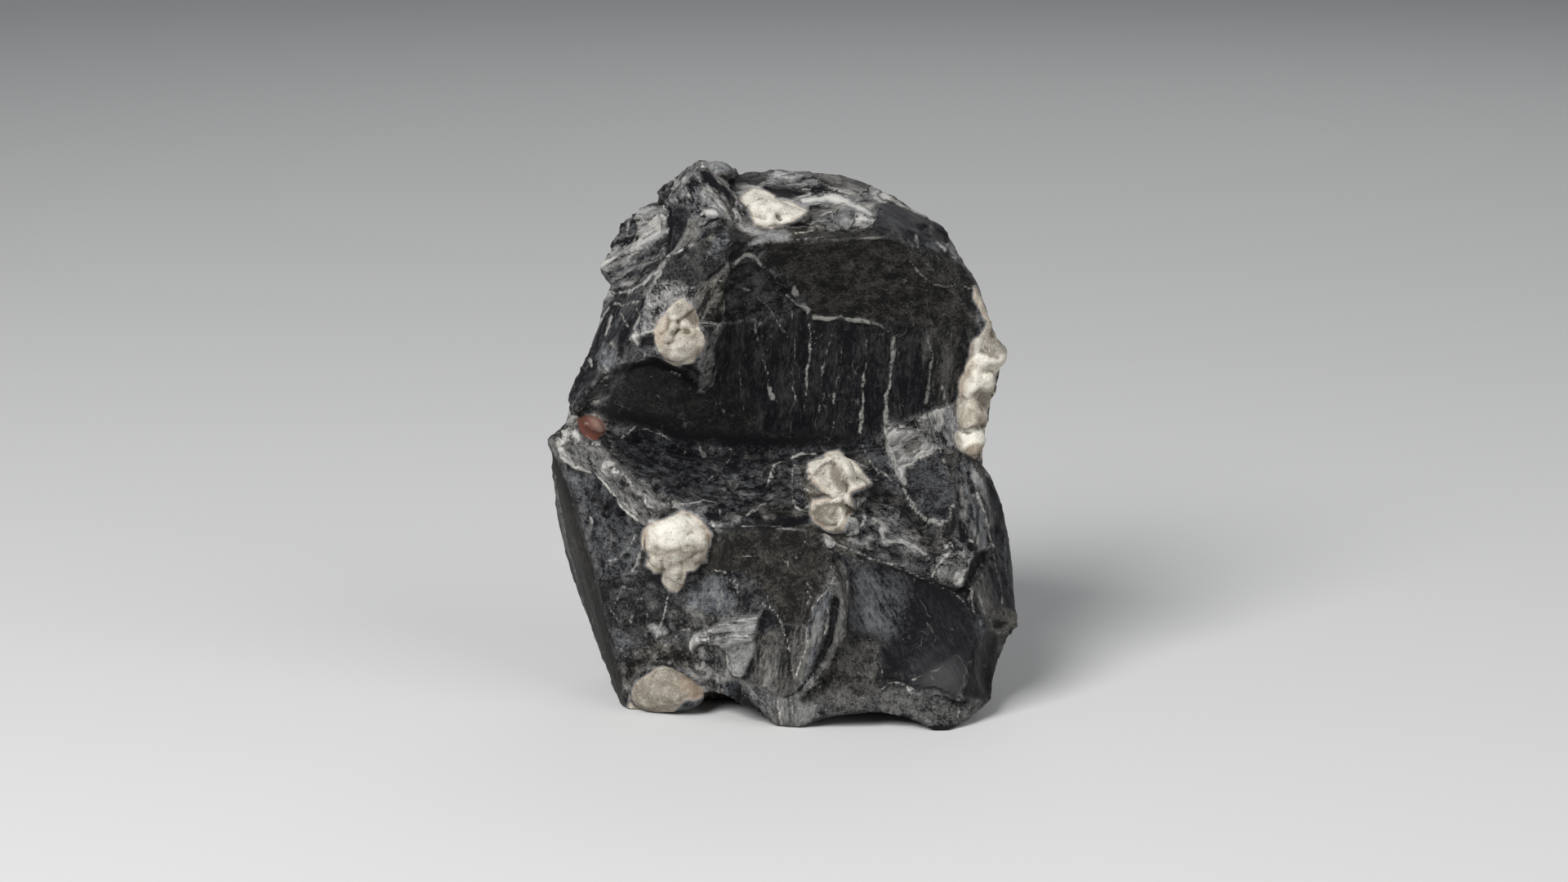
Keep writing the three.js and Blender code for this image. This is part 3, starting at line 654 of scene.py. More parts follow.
        (-13.3, -17), (-10, -16.8), (-9, -22.4), (-11.8, -22.2), (-13.5, -21)], mottle=0.5, comb=80),
    "band over the cross ledge": patch(0.11, 0.2, [
        (-20, -30), (-17, -29), (-12, -31), (-8.6, -30.4), (-13, -32.6), (-17.5, -33.2), (-20, -32.6)],
        mottle=0.6),
    "cross ledge": patch(0.52, 0.05, [
        (-15.6, -33.3), (-13, -32.5), (-9, -30.9), (-6, -30.4), (-4.2, -30), (-3.4, -28.4), (-4.4, -31.5),
        (-4.8, -33.8), (-5.5, -34.9), (-10, -35.6), (-14.5, -35), (-15.4, -36.8), (-16.2, -35)], lift=0.9,
        soft=0.3, mottle=1.1, comb=6, ridged=0.1),
    "stub of the cross": patch(0.5, 0.05, [
        (-10.4, -35), (-5.1, -34.9), (-5.2, -36.4), (-6.2, -39), (-7.2, -41.3), (-8.7, -40.8), (-9.2, -38)],
        lift=0.7, soft=0.3, mottle=0.4),
    "notch by the stub": patch(0.04, 0.2, [
        (-6.6, -41.2), (-5.6, -39), (-5, -40.4), (-5.8, -41.8)], lift=-0.4, soft=0.3),
    "left of the stub": patch(0.13, 0.1, [
        (-16.4, -37), (-14.5, -35.6), (-10.1, -36), (-9.6, -41), (-10.4, -44.6), (-12.4, -45.6), (-15, -44.4),
        (-14, -40.4)], mottle=0.6),
    "dark spot over the fork": patch(0.025, -0.1, [
        (-3.2, -29.5), (-1.6, -30.4), (-1.4, -32), (-3.4, -33.7), (-4.5, -33), (-3.8, -30.6)], lift=-0.3,
        mottle=0.4),
    "inside the fork": patch(0.1, 0.4, [
        (-4.6, -34), (-1, -32.6), (0.7, -35), (1.6, -41), (3, -43.4), (0.6, -44.6), (-3, -44.4), (-6, -41.6),
        (-4.9, -37)], mottle=0.6, comb=80),
    "right of the fork": patch(0.17, 0.3, [
        (-0.6, -32), (4.2, -32), (4.4, -37), (3.3, -41), (2, -43.8), (1.6, -41), (0.8, -35.5)], mottle=0.55,
        comb=76),
    "blade": patch(0.105, -0.35, [
        (8.8, -25), (7, -26.4), (5, -29.3), (4.3, -31.8), (4.6, -37), (3.2, -42), (5.6, -38), (7.2, -34),
        (7.8, -29.5), (8.3, -26.5)], lift=0.3, soft=0.3, mottle=0.6, comb=78),
    "groove of the blade": patch(0.01, 0.1, [
        (8.2, -27), (9.6, -27.6), (9.3, -31), (8.2, -35.4), (6, -38.8), (5.2, -40.2), (2.4, -43.9),
        (4.4, -40.6), (6, -37.4), (7.4, -33.4), (7.8, -30)], lift=-1.0, soft=0.3, mottle=0.2),
    "behind the blade": patch(0.2, 0.25, [
        (9.7, -20.6), (11, -24), (11.4, -28), (10.6, -32), (9, -36), (7.6, -39.6), (9.3, -32.6),
        (9.7, -27.6)], mottle=0.4, comb=84),
    "strands over the foot": patch(0.08, 0.5, [
        (-28.3, -40), (-26, -36.4), (-23, -34.8), (-18, -35), (-15, -37.6), (-13.8, -41), (-16.5, -39.6),
        (-20, -38.8), (-23, -40), (-26, -43.5), (-28.2, -43.4)], mottle=0.9),
    "foot, left edge": patch(0.05, 0.3, [
        (-28.6, -43.6), (-26.6, -44), (-26.4, -47), (-28.6, -48)], mottle=0.4),
    "brown under the arch": patch(0.15, 0.6, [
        (-15.4, -41.4), (-13.8, -41.2), (-12.2, -44.8), (-16.2, -45.6), (-17.4, -44)], mottle=0.5),
    "blue-black spot": patch(0.08, -0.9, [
        (-10.3, -42), (-8.3, -41.9), (-8, -46.2), (-10.2, -46)], mottle=0.1, lift=-0.3),
    "black facet": patch(0.0, 0.0, [
        (-8.4, -42.4), (-7, -43), (-4.5, -46.5), (-1.6, -49.8), (-5, -49), (-9, -47.8), (-11.4, -47)],
        mottle=0.1, lift=-0.4),
    "front foot, left": patch(0.22, 0.05, [
        (-8.6, -41.2), (-3.5, -43), (-1.3, -44.5), (-1, -49.4), (-4, -47.1), (-6.6, -43.4)], mottle=0.8,
        comb=-50),
    "front foot, tip": patch(0.18, 0.1, [
        (-1.2, -44.4), (3, -44), (6, -46), (5.4, -49.4), (1.2, -51.6), (-1, -50)], mottle=0.6, comb=84),
    "bead": patch(0.0, 0.0, [
        (-35.9, 3.7), (-34.6, 4.3), (-32.8, 3.6), (-31.3, 2), (-31.6, 0.6), (-33, -0.2), (-34.4, 0.4),
        (-35.5, 1.8)], mottle=0, lift=0.8, soft=1.1),
    # A painted highlight: the upper right of the bead turns pink as if light fell on it, while the rest of the
    # bead stays dark red.
    "bead, painted highlight": patch(0.6, 0.0, [
        (-34, 4), (-32.6, 3.6), (-31.3, 2.2), (-31.9, 1.2), (-33.2, 2.4)], soft=0.9, mottle=0),
}


def stroke(width, strength, points, lift=0.0):
    """A pale worn line that stands out by lift. With a strength below 0 it is a dark line: a crack, and in two
    places on the left ridge a painted shadow line.
    """
    return {"width": width, "strength": strength, "points": points, "lift": lift}


STROKES = {
    "streaks in the hollow": [
        stroke(0.6, 0.4, [(-5.2, 20), (-4.2, 16.5), (-3.6, 14), (-2.8, 12), (-2.4, 9.5), (-2, 7.4)]),
        stroke(1.0, 0.44, [(-2.5, 9.4), (-2, 7.5)]),
        stroke(0.4, 0.4, [(1.3, 22.8), (1.6, 19.5), (1.9, 14), (1.7, 10.5)]),
        stroke(0.6, 0.5, [(1.7, 10), (2, 6.9)]),
        stroke(0.7, 0.58, [(3.9, 22.6), (4.6, 19), (4.5, 15.8), (4, 12.5), (3.9, 9)]),
        stroke(0.6, 0.48, [(3.9, 9), (3.7, 5.8)]),
        stroke(0.4, 0.42, [(8.3, 18.6), (7.3, 16), (7, 12.8), (6.5, 9.5), (6, 5)]),
        stroke(0.7, 0.5, [(6.9, 12.9), (6.9, 11.5)]),
        stroke(0.45, 0.55, [(10.2, 16.5), (9.7, 13.5), (9.3, 10.5)]),
        stroke(0.65, 0.56, [(9.2, 10.2), (8.7, 6.5)]),
        stroke(0.45, 0.5, [(8.6, 3.5), (8.3, 1)]),
        stroke(0.5, 0.45, [(14.3, 18), (14.3, 14), (14.2, 11.8)]),
        stroke(0.75, 0.48, [(14.2, 11.8), (13.6, 8.5), (13.9, 5)]),
        stroke(1.0, 0.5, [(13.7, 4.8), (13.2, 1.5)]),
        stroke(1.1, 0.4, [(19, 18), (19, 15.5), (18.7, 13)]),
        stroke(0.9, 0.46, [(18.7, 13), (18.6, 10), (17.9, 7.5), (17.8, 5)]),
        stroke(1.3, 0.4, [(17.8, 5), (17.7, 2), (18.4, -2), (19.6, -5.5), (20.9, -7.7)]),
        stroke(0.7, 0.28, [(25.2, 18), (25.8, 15), (25.2, 10), (24.6, 6.5)]),
        stroke(0.9, 0.32, [(27.3, 9.5), (28, 7.8), (28.4, 6.5)]),
        stroke(0.35, 0.28, [(5.2, 20.8), (5.4, 16)]),
        stroke(0.4, 0.3, [(-7.8, 12), (-7.3, 8), (-7, 5)]),
        stroke(0.5, 0.34, [(-10.6, 5.6), (-10.2, 4.9)]),
        stroke(0.3, 0.25, [(0.2, 11.4), (1.2, 9.8)]),
        stroke(0.3, 0.3, [(-4.1, 15.9), (-2.6, 14.8)]),
        stroke(0.3, 0.3, [(-5, 20), (-3.8, 19.4), (-3.6, 17.5)]),
    ],
    "lips in the hollow": [
        stroke(1.0, 0.37, [(-9, 30.2), (-7.6, 31.8), (-6.5, 32.8), (-5, 32), (-3.8, 30.7)], 0.2),
        stroke(0.6, 0.24, [(-3.8, 30.7), (-2, 29), (-0.5, 27)], 0.15),
        stroke(1.5, 0.4, [(1.6, 27), (2, 25.6)], 0.2),
        stroke(1.1, 0.44, [(0.6, 24.8), (2.6, 23.6), (4.1, 22.8)], 0.15),
        stroke(1.0, 0.43, [(5.2, 21.8), (7.5, 21.3), (10, 21.5), (12.5, 21.1), (15, 20.8)], 0.25),
        stroke(0.8, 0.24, [(15, 20.9), (17, 20.2), (18.2, 19.3)], 0.15),
        stroke(0.5, 0.34, [(22, 31.6), (23.8, 29.3), (25.8, 27.5), (28, 27), (31, 27), (33, 26.2)], 0.15),
        stroke(0.4, 0.3, [(20.3, 23), (22.2, 21.7), (22.5, 20.2)]),
        stroke(0.4, 0.36, [(-10.5, 20.2), (-5, 20.6), (-3.8, 20)], 0.1),
        stroke(0.8, 0.56, [(-14.6, 21.2), (-13, 20.8), (-10.6, 20.3)], 0.15),
        stroke(0.35, 0.4, [(-7.4, 24.9), (-6.5, 22.6), (-5.2, 20.8)]),
        stroke(0.6, 0.27, [(-4.4, 24.3), (-2.6, 22.8), (-1.4, 20.6), (0.4, 18)]),
        stroke(0.8, 0.4, [(-7, 26), (-5.8, 25.5)]),
        stroke(0.35, 0.45, [(1, 35), (5, 35.1), (7, 35.5)]),
        stroke(0.6, 0.32, [(-10.8, 26), (-11.2, 22), (-11.4, 20.5)]),
        stroke(0.45, 0.3, [(24.9, 24.4), (25.2, 22), (25.8, 20)]),
    ],
    "under the nose": [
        stroke(0.5, 0.72, [(-28.3, 0.7), (-26, 2.7), (-23, 1.6), (-20, 0.6)], 0.12),
        stroke(1.0, 0.7, [(-27, 17.7), (-24.5, 18.9), (-22.4, 19.3)], 0.2),
        stroke(0.8, 0.3, [(-26, 13.9), (-24.5, 14.4), (-24, 15.6)]),
        stroke(0.6, 0.45, [(-19.8, 12), (-18, 11.4)]),
        stroke(0.4, 0.65, [(-23.2, 11.4), (-23, 11.2)]),
        stroke(0.4, 0.52, [(-22, 7.8), (-21.6, 7.7)]),
    ],
    "left slope": [
        stroke(0.9, 0.5, [
            (-38, 6.8), (-36.6, 9.8), (-35.2, 13.2), (-33.8, 16), (-32.6, 19.6), (-30.4, 23.2)]),
        stroke(0.7, 0.6, [(-29.2, 23.6), (-27, 23.8), (-24.8, 24.4)], 0.15),
        stroke(0.9, 0.5, [(-29.9, 21.6), (-30.8, 18.4)]),
        stroke(0.7, 0.45, [(-28.4, 22.4), (-27.2, 20)]),
        stroke(0.9, 0.45, [(-33.4, 14), (-33.2, 13)]),
        stroke(0.5, 0.52, [(-32, 10.4), (-30.8, 11.2)]),
        stroke(0.5, 0.52, [(-31.4, 9.6), (-29.6, 9.8)]),
        stroke(0.7, 0.45, [(-26.3, 19.6), (-25.2, 21.6), (-25.8, 23)]),
    ],
    "crown and lobe": [
        stroke(0.4, 1.0, [(-20.7, 31.5), (-18, 32.7), (-15.4, 34)], 0.2),
        stroke(0.8, 0.55, [(-32, 30.2), (-29, 31.5), (-27, 32.3), (-24.4, 33.4)], 0.3),
        stroke(0.6, 0.5, [(-28.4, 35.2), (-25, 36.2), (-22.6, 37.4), (-20.8, 38.6)], 0.25),
        stroke(0.9, 0.6, [(-30.8, 25.8), (-27, 25.8), (-24.6, 27), (-23, 28.6), (-21.4, 29.4)], 0.2),
        stroke(1.2, 0.5, [(-22.3, 27.6), (-21.4, 29), (-21, 30.8)]),
        stroke(0.5, 0.52, [(-26.8, 36.6), (-26.8, 38)]),
        stroke(0.7, -1.0, [(-20.2, 40.8), (-20.3, 37), (-20.4, 34.5), (-20.5, 31.6)], -0.9),
        stroke(0.5, -0.8, [(-10.2, 30.7), (-11.8, 29.4), (-13.3, 28.1)], -0.4),
        stroke(0.5, -0.5, [(-22, 44.8), (-19.8, 42.6), (-19.6, 41)], -0.2),
        stroke(0.9, 0.55, [(-19.2, 47), (-17, 48.4), (-14.4, 49)]),
        stroke(1.1, 0.5, [(-18.8, 45.6), (-18, 44.6), (-19, 43.6)]),
        stroke(0.8, 0.55, [(-9.8, 39.6), (-8.4, 38.8)]),
        stroke(1.1, 0.55, [(-13.8, 39.3), (-12.4, 39.3)]),
        stroke(0.6, 0.45, [(-8, 38.2), (-6.6, 37), (-5.4, 36.3)]),
        stroke(0.6, 0.5, [(-9.4, 33.3), (-9.2, 34.4)]),
        stroke(0.5, 0.45, [(-13.7, 30.6), (-13.2, 32.8), (-11.6, 35)]),
        stroke(0.5, -0.6, [(-9.8, 33), (-8.4, 34.4), (-8, 35.8)], -0.2),
    ],
    "top": [
        stroke(0.5, 0.65, [
            (8.6, 39), (9, 40.3), (10.5, 40.9), (12, 40.2), (12.5, 38.8), (11.7, 37.4), (10.2, 37),
            (8.9, 37.7), (8.6, 39)], 0.1),
        stroke(0.9, 0.6, [(18.4, 42.6), (20, 41.6), (23, 40), (25.4, 38.8), (27.8, 37.4)]),
        stroke(0.8, 0.6, [(28.6, 36.4), (30.2, 34.4), (32, 32.2), (33.4, 30.4)]),
        stroke(1.0, 0.55, [(27, 33.9), (27.8, 33.2)]),
        stroke(0.7, 0.4, [(22.8, 35.5), (23.4, 33.6)]),
        stroke(0.8, 0.55, [(31.4, 31), (32.8, 29.8)]),
        stroke(0.6, 0.5, [(29.3, 32.2), (30.2, 31.9)]),
        stroke(0.4, 0.52, [(5.6, 36.9), (9, 37.1)]),
        stroke(0.5, 0.78, [(2, 36.3), (5, 36.4)]),
        stroke(0.4, -0.5, [(-4.8, 37.3), (-2, 36.9), (4, 37.1)], -0.15),
        stroke(0.6, 0.5, [(-4, 45), (-3.2, 45.4)]),
        stroke(0.5, 0.65, [(-7, 44.8), (-5.6, 44.2)]),
    ],
    "cheek": [
        stroke(1.0, 1.0, [
            (-38.6, -2.6), (-36.6, -4.1), (-34, -5.2), (-32.5, -5.6), (-30.8, -7.1), (-29, -9.4)], 0.35),
        stroke(0.9, 1.0, [(-29, -9.4), (-28, -11.1), (-26.9, -12.5)], 0.35),
        stroke(1.1, 0.85, [(-26.9, -12.4), (-25.5, -13.4)], 0.3),
        stroke(0.6, 0.75, [(-29.5, -5.2), (-28, -6.3), (-27, -7.4), (-25.8, -8.5)], 0.2),
        stroke(0.6, 0.7, [(-24.3, -9.9), (-23.9, -11.1), (-22.8, -11.4)], 0.15),
        stroke(1.2, 0.6, [(-31, -4.4), (-30, -4.2)]),
        stroke(1.4, 0.6, [(-38.8, 0), (-38.6, -1.6)]),
        stroke(0.6, 0.65, [
            (-30.6, -20.8), (-28.6, -20.2), (-27.6, -19.1), (-26.4, -17.5), (-25.6, -16.4)], 0.2),
        stroke(0.7, 0.5, [(-33.6, -13.2), (-33.4, -14.2)]),
        stroke(0.5, 0.65, [(-31.4, -7.6), (-31.2, -7.9)]),
        stroke(0.35, -0.8, [(-30.4, -24.4), (-28.5, -23.9), (-26, -23.7)], -0.3),
        stroke(1.3, 0.4, [(-25.2, -19.6), (-25.4, -21.4), (-26.4, -22.8)]),
        stroke(0.6, 0.5, [(-28.2, -23.4), (-26, -23), (-24.4, -22.6)]),
        stroke(1.0, 0.14, [(-39.8, -10), (-38.6, -15), (-37.4, -20)]),
        stroke(0.5, -0.7, [(-23.4, -7), (-22.2, -8.6), (-21, -10.2)], -0.4),
        stroke(0.35, 0.78, [(-22, -7.4), (-21.4, -8.6), (-20.8, -9.8)], 0.1),
    ],
    "shelf": [
        stroke(0.3, 0.55, [(-9, -2.9), (-11, -4.9), (-13.4, -7.2)]),
        stroke(0.35, 0.55, [(-17.2, 0), (-17.4, -4.5), (-18, -6)]),
        stroke(0.25, 0.39, [(-20, -1.5), (-22.6, -3)]),
        stroke(0.35, 0.78, [(-1.4, -5.8), (-2.3, -7.2), (-2.9, -8.9)], 0.1),
        stroke(0.4, 0.78, [(-14.5, -10.4), (-12.6, -10.6), (-11.5, -11.4), (-11, -13)], 0.15),
        stroke(0.45, 0.65, [(-18.8, -11), (-16, -11), (-14.6, -10.6)], 0.1),
        stroke(0.9, 0.6, [(1.2, -2.8), (3, -2.1), (5.2, -2.2)], 0.1),
        stroke(1.1, 0.5, [(3.6, -8.4), (4.2, -9.4)]),
        stroke(0.6, 0.5, [(-4.6, -11.9), (-4, -11.2), (-3, -10.8)]),
        stroke(0.5, 0.52, [(-6.6, -13), (-5, -12.2)]),
        stroke(0.5, 0.59, [(-7.4, -14.7), (-6.4, -14.8)]),
        stroke(0.5, 0.59, [(-2.4, -14.9), (-1.6, -14.8)]),
        stroke(0.6, 0.36, [(-11.6, -1), (-9, -1.4)]),
        stroke(1.0, 0.3, [(-14.6, -1), (-14, -2.4)]),
    ],
    "undercut": [
        stroke(0.45, 0.65, [(-7, -20.1), (-5.2, -20.3)]),
        stroke(0.45, 0.52, [(-6.8, -18.6), (-6, -18)]),
        stroke(0.8, 0.65, [(0.5, -21), (0.7, -22)]),
        stroke(0.55, 0.6, [(8.7, -20.7), (8.2, -22.3)]),
        stroke(0.6, 0.4, [(4, -24.6), (4.6, -25.2)]),
        stroke(0.5, 0.85, [(-11.8, -22.6), (-10.2, -22.9), (-9.2, -24.3)], 0.15),
        stroke(0.4, 0.39, [(-9, -24.4), (-8.2, -26.6)]),
        stroke(0.3, 0.45, [(-1.6, -27), (0, -28)]),
        stroke(0.8, 0.3, [(-1.8, -16.2), (-1.2, -17)]),
    ],
    "tongue": [
        stroke(0.7, 0.6, [(18.2, 1), (18.4, -2), (19.4, -4.6), (20.2, -5.8)], 0.15),
        stroke(0.8, 0.42, [
            (20.6, -8.6), (23, -11.8), (25.2, -14.2), (27, -15), (28.5, -14.3), (29.2, -12.6)], 0.35),
        stroke(0.8, 0.62, [(20.4, -4.9), (22.4, -4.2), (23.2, -2.9), (25.4, -2.4), (26.8, -1.2)], 0.2),
        stroke(0.6, 0.5, [(26.9, -1.4), (27.6, -3.4), (28, -4)]),
        stroke(0.4, 0.45, [(28.2, -4.8), (29.4, -7.2), (30.2, -8.6)]),
        stroke(0.5, 0.45, [(13.6, -0.6), (14.6, -3.4), (16.6, -6)]),
        stroke(0.45, 0.52, [(15.2, -4.4), (17.4, -5.8), (19.8, -8)], 0.1),
        stroke(0.6, 0.5, [(11.6, -3.6), (14.6, -5)], 0.1),
        stroke(0.35, 0.65, [(12.6, -6.4), (15.6, -6.9), (17.6, -7.7)], 0.1),
        stroke(0.35, 0.52, [(23.2, -8.6), (24.2, -10.2), (24.6, -11.4)]),
        stroke(0.6, 0.55, [(29, -12.4), (29.8, -11.4)]),
    ],
    "right of the star": [
        stroke(0.6, 1.0, [(-0.2, -4.2), (-1.6, -5.2), (-2.7, -7), (-3, -8.6)], 0.15),
        stroke(0.6, 0.95, [(1.6, -4.4), (1.1, -7), (1.2, -9.6), (1.9, -11.6), (3.2, -12.3)], 0.2),
        stroke(0.45, 0.65, [(2, -4.6), (1.9, -7.2), (2.1, -9.4)], 0.15),
        stroke(1.2, 0.55, [(3.3, -8.3), (3.7, -8.9)]),
        stroke(0.8, 0.65, [
            (12.8, -10.8), (13.4, -12.2), (14, -13.6), (13.6, -15), (11.6, -15.9), (10.4, -16.6)], 0.2),
        stroke(0.5, 0.59, [(10.4, -16.4), (10.8, -14.4), (11.2, -13.2)], 0.1),
        stroke(0.4, 0.45, [(16, -10.9), (19, -12)]),
        stroke(0.4, 0.65, [(17.5, -12.5), (18.4, -13.6), (18.9, -14.6)]),
        stroke(1.3, 0.42, [(16.6, -16), (17.5, -17.8), (20, -17.4), (22.6, -18.8)]),
        stroke(0.9, 0.5, [(22.6, -18.8), (24.5, -19.8)]),
        stroke(0.8, 0.55, [(15.2, -13.6), (16, -14.4)]),
    ],
    "bowl": [
        stroke(0.5, 0.6, [(9, -18.1), (11.6, -19), (14, -20), (20, -22), (25, -24)], 0.1),
        stroke(0.3, -0.5, [(11.6, -19.5), (20, -22.6), (25, -24.7)], -0.2),
        stroke(0.35, 0.52, [(25, -24.2), (29, -26.2), (31, -27.6), (32.4, -29.4)]),
        stroke(0.4, 0.47, [(15.9, -38.6), (17, -38.4), (17, -39.6), (17.3, -41.6)]),
        stroke(0.6, 0.45, [(16.6, -43.6), (18, -42.4), (20, -42.2), (22, -43.2), (23.8, -43.9)], 0.15),
        stroke(0.5, 0.78, [(21.2, -43.4), (22.4, -43.8)]),
        stroke(0.4, 0.55, [(22.4, -41.8), (24.6, -40.6)]),
        stroke(0.5, 0.39, [(25.4, -40), (27.2, -39.6)]),
        stroke(0.4, 0.39, [(21.2, -41.2), (23.2, -40.8)]),
        stroke(0.7, 0.4, [(12.8, -40.2), (14.4, -40.8)]),
        stroke(0.3, 0.52, [(4.6, -31.8), (7.5, -32.5)]),
        stroke(0.3, 0.59, [(9.2, -32.3), (11.8, -33.8), (13.8, -34.8)]),
        stroke(0.6, 0.4, [(5.4, -44), (6.4, -42.8)]),
    ],
    "right side": [
        stroke(0.5, -0.7, [(31.6, -4), (32.8, -8.6), (33.6, -12), (34, -15.4), (33.2, -17.8)], -0.3),
        stroke(0.4, 0.65, [(32.3, -5.4), (33, -7.6), (33.6, -9.6)], 0.1),
        stroke(0.6, 0.5, [(33.6, -9.8), (34.4, -12.6), (35, -15)], 0.15),
        stroke(0.8, 0.5, [(35.3, -14.6), (36, -17.6)]),
        stroke(0.6, 0.75, [(35.8, -18), (36.3, -18.3)]),
        stroke(0.4, 0.52, [(35.2, -10.6), (36.4, -13.8)]),
        stroke(0.35, 0.52, [(36.6, -19.6), (37.3, -24), (38, -28.4)]),
        stroke(0.35, 0.33, [(38.2, -17), (39, -24), (39.6, -28)]),
        stroke(0.35, 0.39, [(35.6, -20.8), (34.6, -22.4), (33.4, -24)]),
        stroke(0.5, 0.91, [(28.3, -19), (28.7, -17.7), (29.4, -19)], 0.15),
        stroke(0.5, 0.52, [(29.4, -17), (31, -18.1), (31.6, -21.4)]),
        stroke(0.9, 0.6, [(26, -23), (27.4, -21.4)], 0.1),
        stroke(0.9, 0.5, [(30.6, -23.2), (31.8, -22.6)], 0.1),
        stroke(0.7, 0.5, [(32, -17.2), (33, -17.6)]),
        stroke(0.7, 0.45, [(32.4, -19.8), (33, -19.2)]),
        stroke(0.5, 0.52, [(27.6, -15.6), (27.8, -19)]),
        stroke(0.6, 0.4, [(32.8, -25), (33, -29.8)]),
        stroke(0.6, 0.36, [(34, -26.4), (34.8, -30.2)]),
        stroke(0.7, 0.4, [(36.2, -32.7), (37.8, -33.5)]),
    ],
    "under the cheek": [
        stroke(0.4, 0.81, [(-28.4, -25.6), (-28.8, -27), (-29.2, -28.4)]),
        stroke(0.7, 0.36, [(-28.2, -25.4), (-26, -26)]),
        stroke(0.45, 0.98, [(-20.3, -27), (-20.8, -30.4), (-22.2, -34.2)], 0.1),
        stroke(0.6, 0.6, [(-27.3, -28.3), (-26.7, -29.6)]),
        stroke(0.7, 0.55, [(-26, -30.3), (-26.6, -31.4)]),
        stroke(0.45, 0.65, [(-24.8, -27.3), (-23.8, -27.7)]),
        stroke(0.6, 0.35, [(-23.6, -28.5), (-24, -34.6)]),
        stroke(0.5, 0.52, [(-30.2, -29), (-29, -31)]),
        stroke(0.5, 0.65, [(-27.6, -37.2), (-27.5, -37.8)]),
        stroke(0.6, 0.5, [(-19, -34), (-18.4, -34.4)]),
        stroke(0.7, 0.55, [(-18, -32.9), (-16.4, -32.8)]),
        stroke(0.4, 0.39, [(-16, -27.4), (-13.8, -26.6)]),
    ],
    "left flank": [
        stroke(0.5, 0.35, [(-39.9, -6), (-38.8, -13), (-37.4, -19.4)]),
        stroke(0.4, 0.3, [(-39, -11), (-37.8, -17), (-35.6, -26), (-33.6, -33)]),
    ],
    "over the plate": [
        stroke(0.3, 0.72, [(-1.1, -17.1), (1.1, -18.9), (2, -20.7)]),
        stroke(0.3, 0.65, [(3.8, -17.1), (2.9, -19), (2.2, -20.7)]),
        stroke(0.35, 0.65, [(-10.9, -22.4), (-9.1, -22.9), (-8.2, -24.7), (-8.4, -27.3), (-7.8, -30.4)]),
        stroke(1.3, 0.55, [(7, -16.6), (8.2, -18)], 0.15),
        stroke(0.35, 0.6, [(-0.6, -19.4), (0.2, -21.4)], -0.1),
        stroke(0.35, 0.6, [(0.4, -20.4), (1, -21.8)], -0.1),
        stroke(0.35, 0.91, [(4.1, -25.8), (4.7, -27.2)], -0.1),
        stroke(0.3, 0.78, [(-6.6, -20), (-5, -20.2)]),
        stroke(0.3, 0.52, [(-5.6, -23), (-3.4, -25.6), (-2.2, -26)]),
    ],
    "cross ledge": [
        stroke(0.6, 0.75, [(-15.4, -36.8), (-15.5, -34.2), (-14.6, -33.8), (-14.4, -35)], 0.2),
        stroke(0.5, 0.78, [(-12.6, -32.6), (-11.2, -33)], 0.2),
        stroke(0.5, 0.98, [(-14.4, -34.2), (-12, -34), (-9.6, -33.9), (-6, -33.9), (-5.4, -34.4)], 0.3),
        stroke(0.5, 0.85, [(-13.4, -33), (-10, -31.6), (-6.6, -31), (-4.4, -30.4)], 0.3),
        stroke(0.6, 0.6, [(-9.8, -35.4), (-9.8, -38), (-9, -40.4), (-7.6, -41.2)], 0.3),
        stroke(0.5, 0.81, [(-4.6, -29), (-3.8, -28.2), (-3.3, -28.8)], 0.1),
        stroke(0.6, 0.55, [(-9.6, -37.4), (-9.2, -39.8), (-8, -41), (-6.8, -40.8)], 0.15),
        stroke(0.7, 0.35, [(-5.2, -36.6), (-5, -38)]),
        stroke(0.35, -0.7, [(-14, -34.7), (-9, -34.7)], -0.2),
        stroke(0.5, 0.45, [(-3, -26.8), (-2.7, -28.6), (-1.5, -29.8)], 0.1),
    ],
    "fork": [
        stroke(0.5, 0.72, [(-2.8, -27), (-2.7, -28.7), (-1.5, -30), (-0.4, -32)], 0.1),
        stroke(0.4, 0.65, [(-0.4, -32), (0.7, -35.5), (1.6, -39), (1.7, -41.5)], 0.1),
        stroke(0.4, 0.78, [(1.7, -41.4), (3, -38.6), (4, -35.5), (4.2, -32.6)], 0.1),
        stroke(0.4, 0.52, [(2, -37.6), (3, -37.6)]),
        stroke(0.6, 0.5, [(0.2, -36), (1, -36.6)]),
    ],
    "blade": [
        stroke(0.45, 0.81, [(9.2, -23.4), (7.4, -26), (5.2, -29), (4.4, -31.4)], 0.2),
        stroke(0.4, 0.52, [(4.4, -31.4), (4.5, -35), (4.2, -39)], 0.1),
        stroke(0.5, 0.72, [(7.8, -28.6), (7.7, -31.4), (7.2, -33.6)], 0.15),
        stroke(0.5, 0.52, [(10.2, -21.4), (11, -24), (11.1, -28.4), (10.4, -32)]),
        stroke(0.35, 0.39, [(9.4, -35), (9.4, -39)]),
        stroke(0.35, -1.0, [(5.4, -39.4), (3.8, -41.8), (2, -43.9), (0.2, -44.5)], -0.4),
    ],
    "feet": [
        stroke(0.7, 0.75, [(-0.9, -45.2), (-0.7, -48.3)], 0.15),
        stroke(0.6, 0.55, [(1.1, -45), (1.7, -48.3)], 0.1),
        stroke(0.45, 0.59, [(3.4, -45.6), (3, -47), (3.4, -48.6)]),
        stroke(0.5, 0.52, [(3.2, -48.2), (2.4, -50)]),
        stroke(0.6, 0.6, [(-6.8, -44.2), (-6.5, -44.6)]),
        stroke(0.6, 0.5, [(-1.6, -44.4), (-1.2, -44.8)]),
        stroke(0.35, -0.6, [(-11.2, -46.2), (-9, -46.7), (-8, -46.5)], -0.3),
        stroke(0.6, 0.5, [(31.4, -45.8), (32.2, -46.6)]),
        stroke(0.6, 0.35, [(30.6, -47), (29.8, -49.6)]),
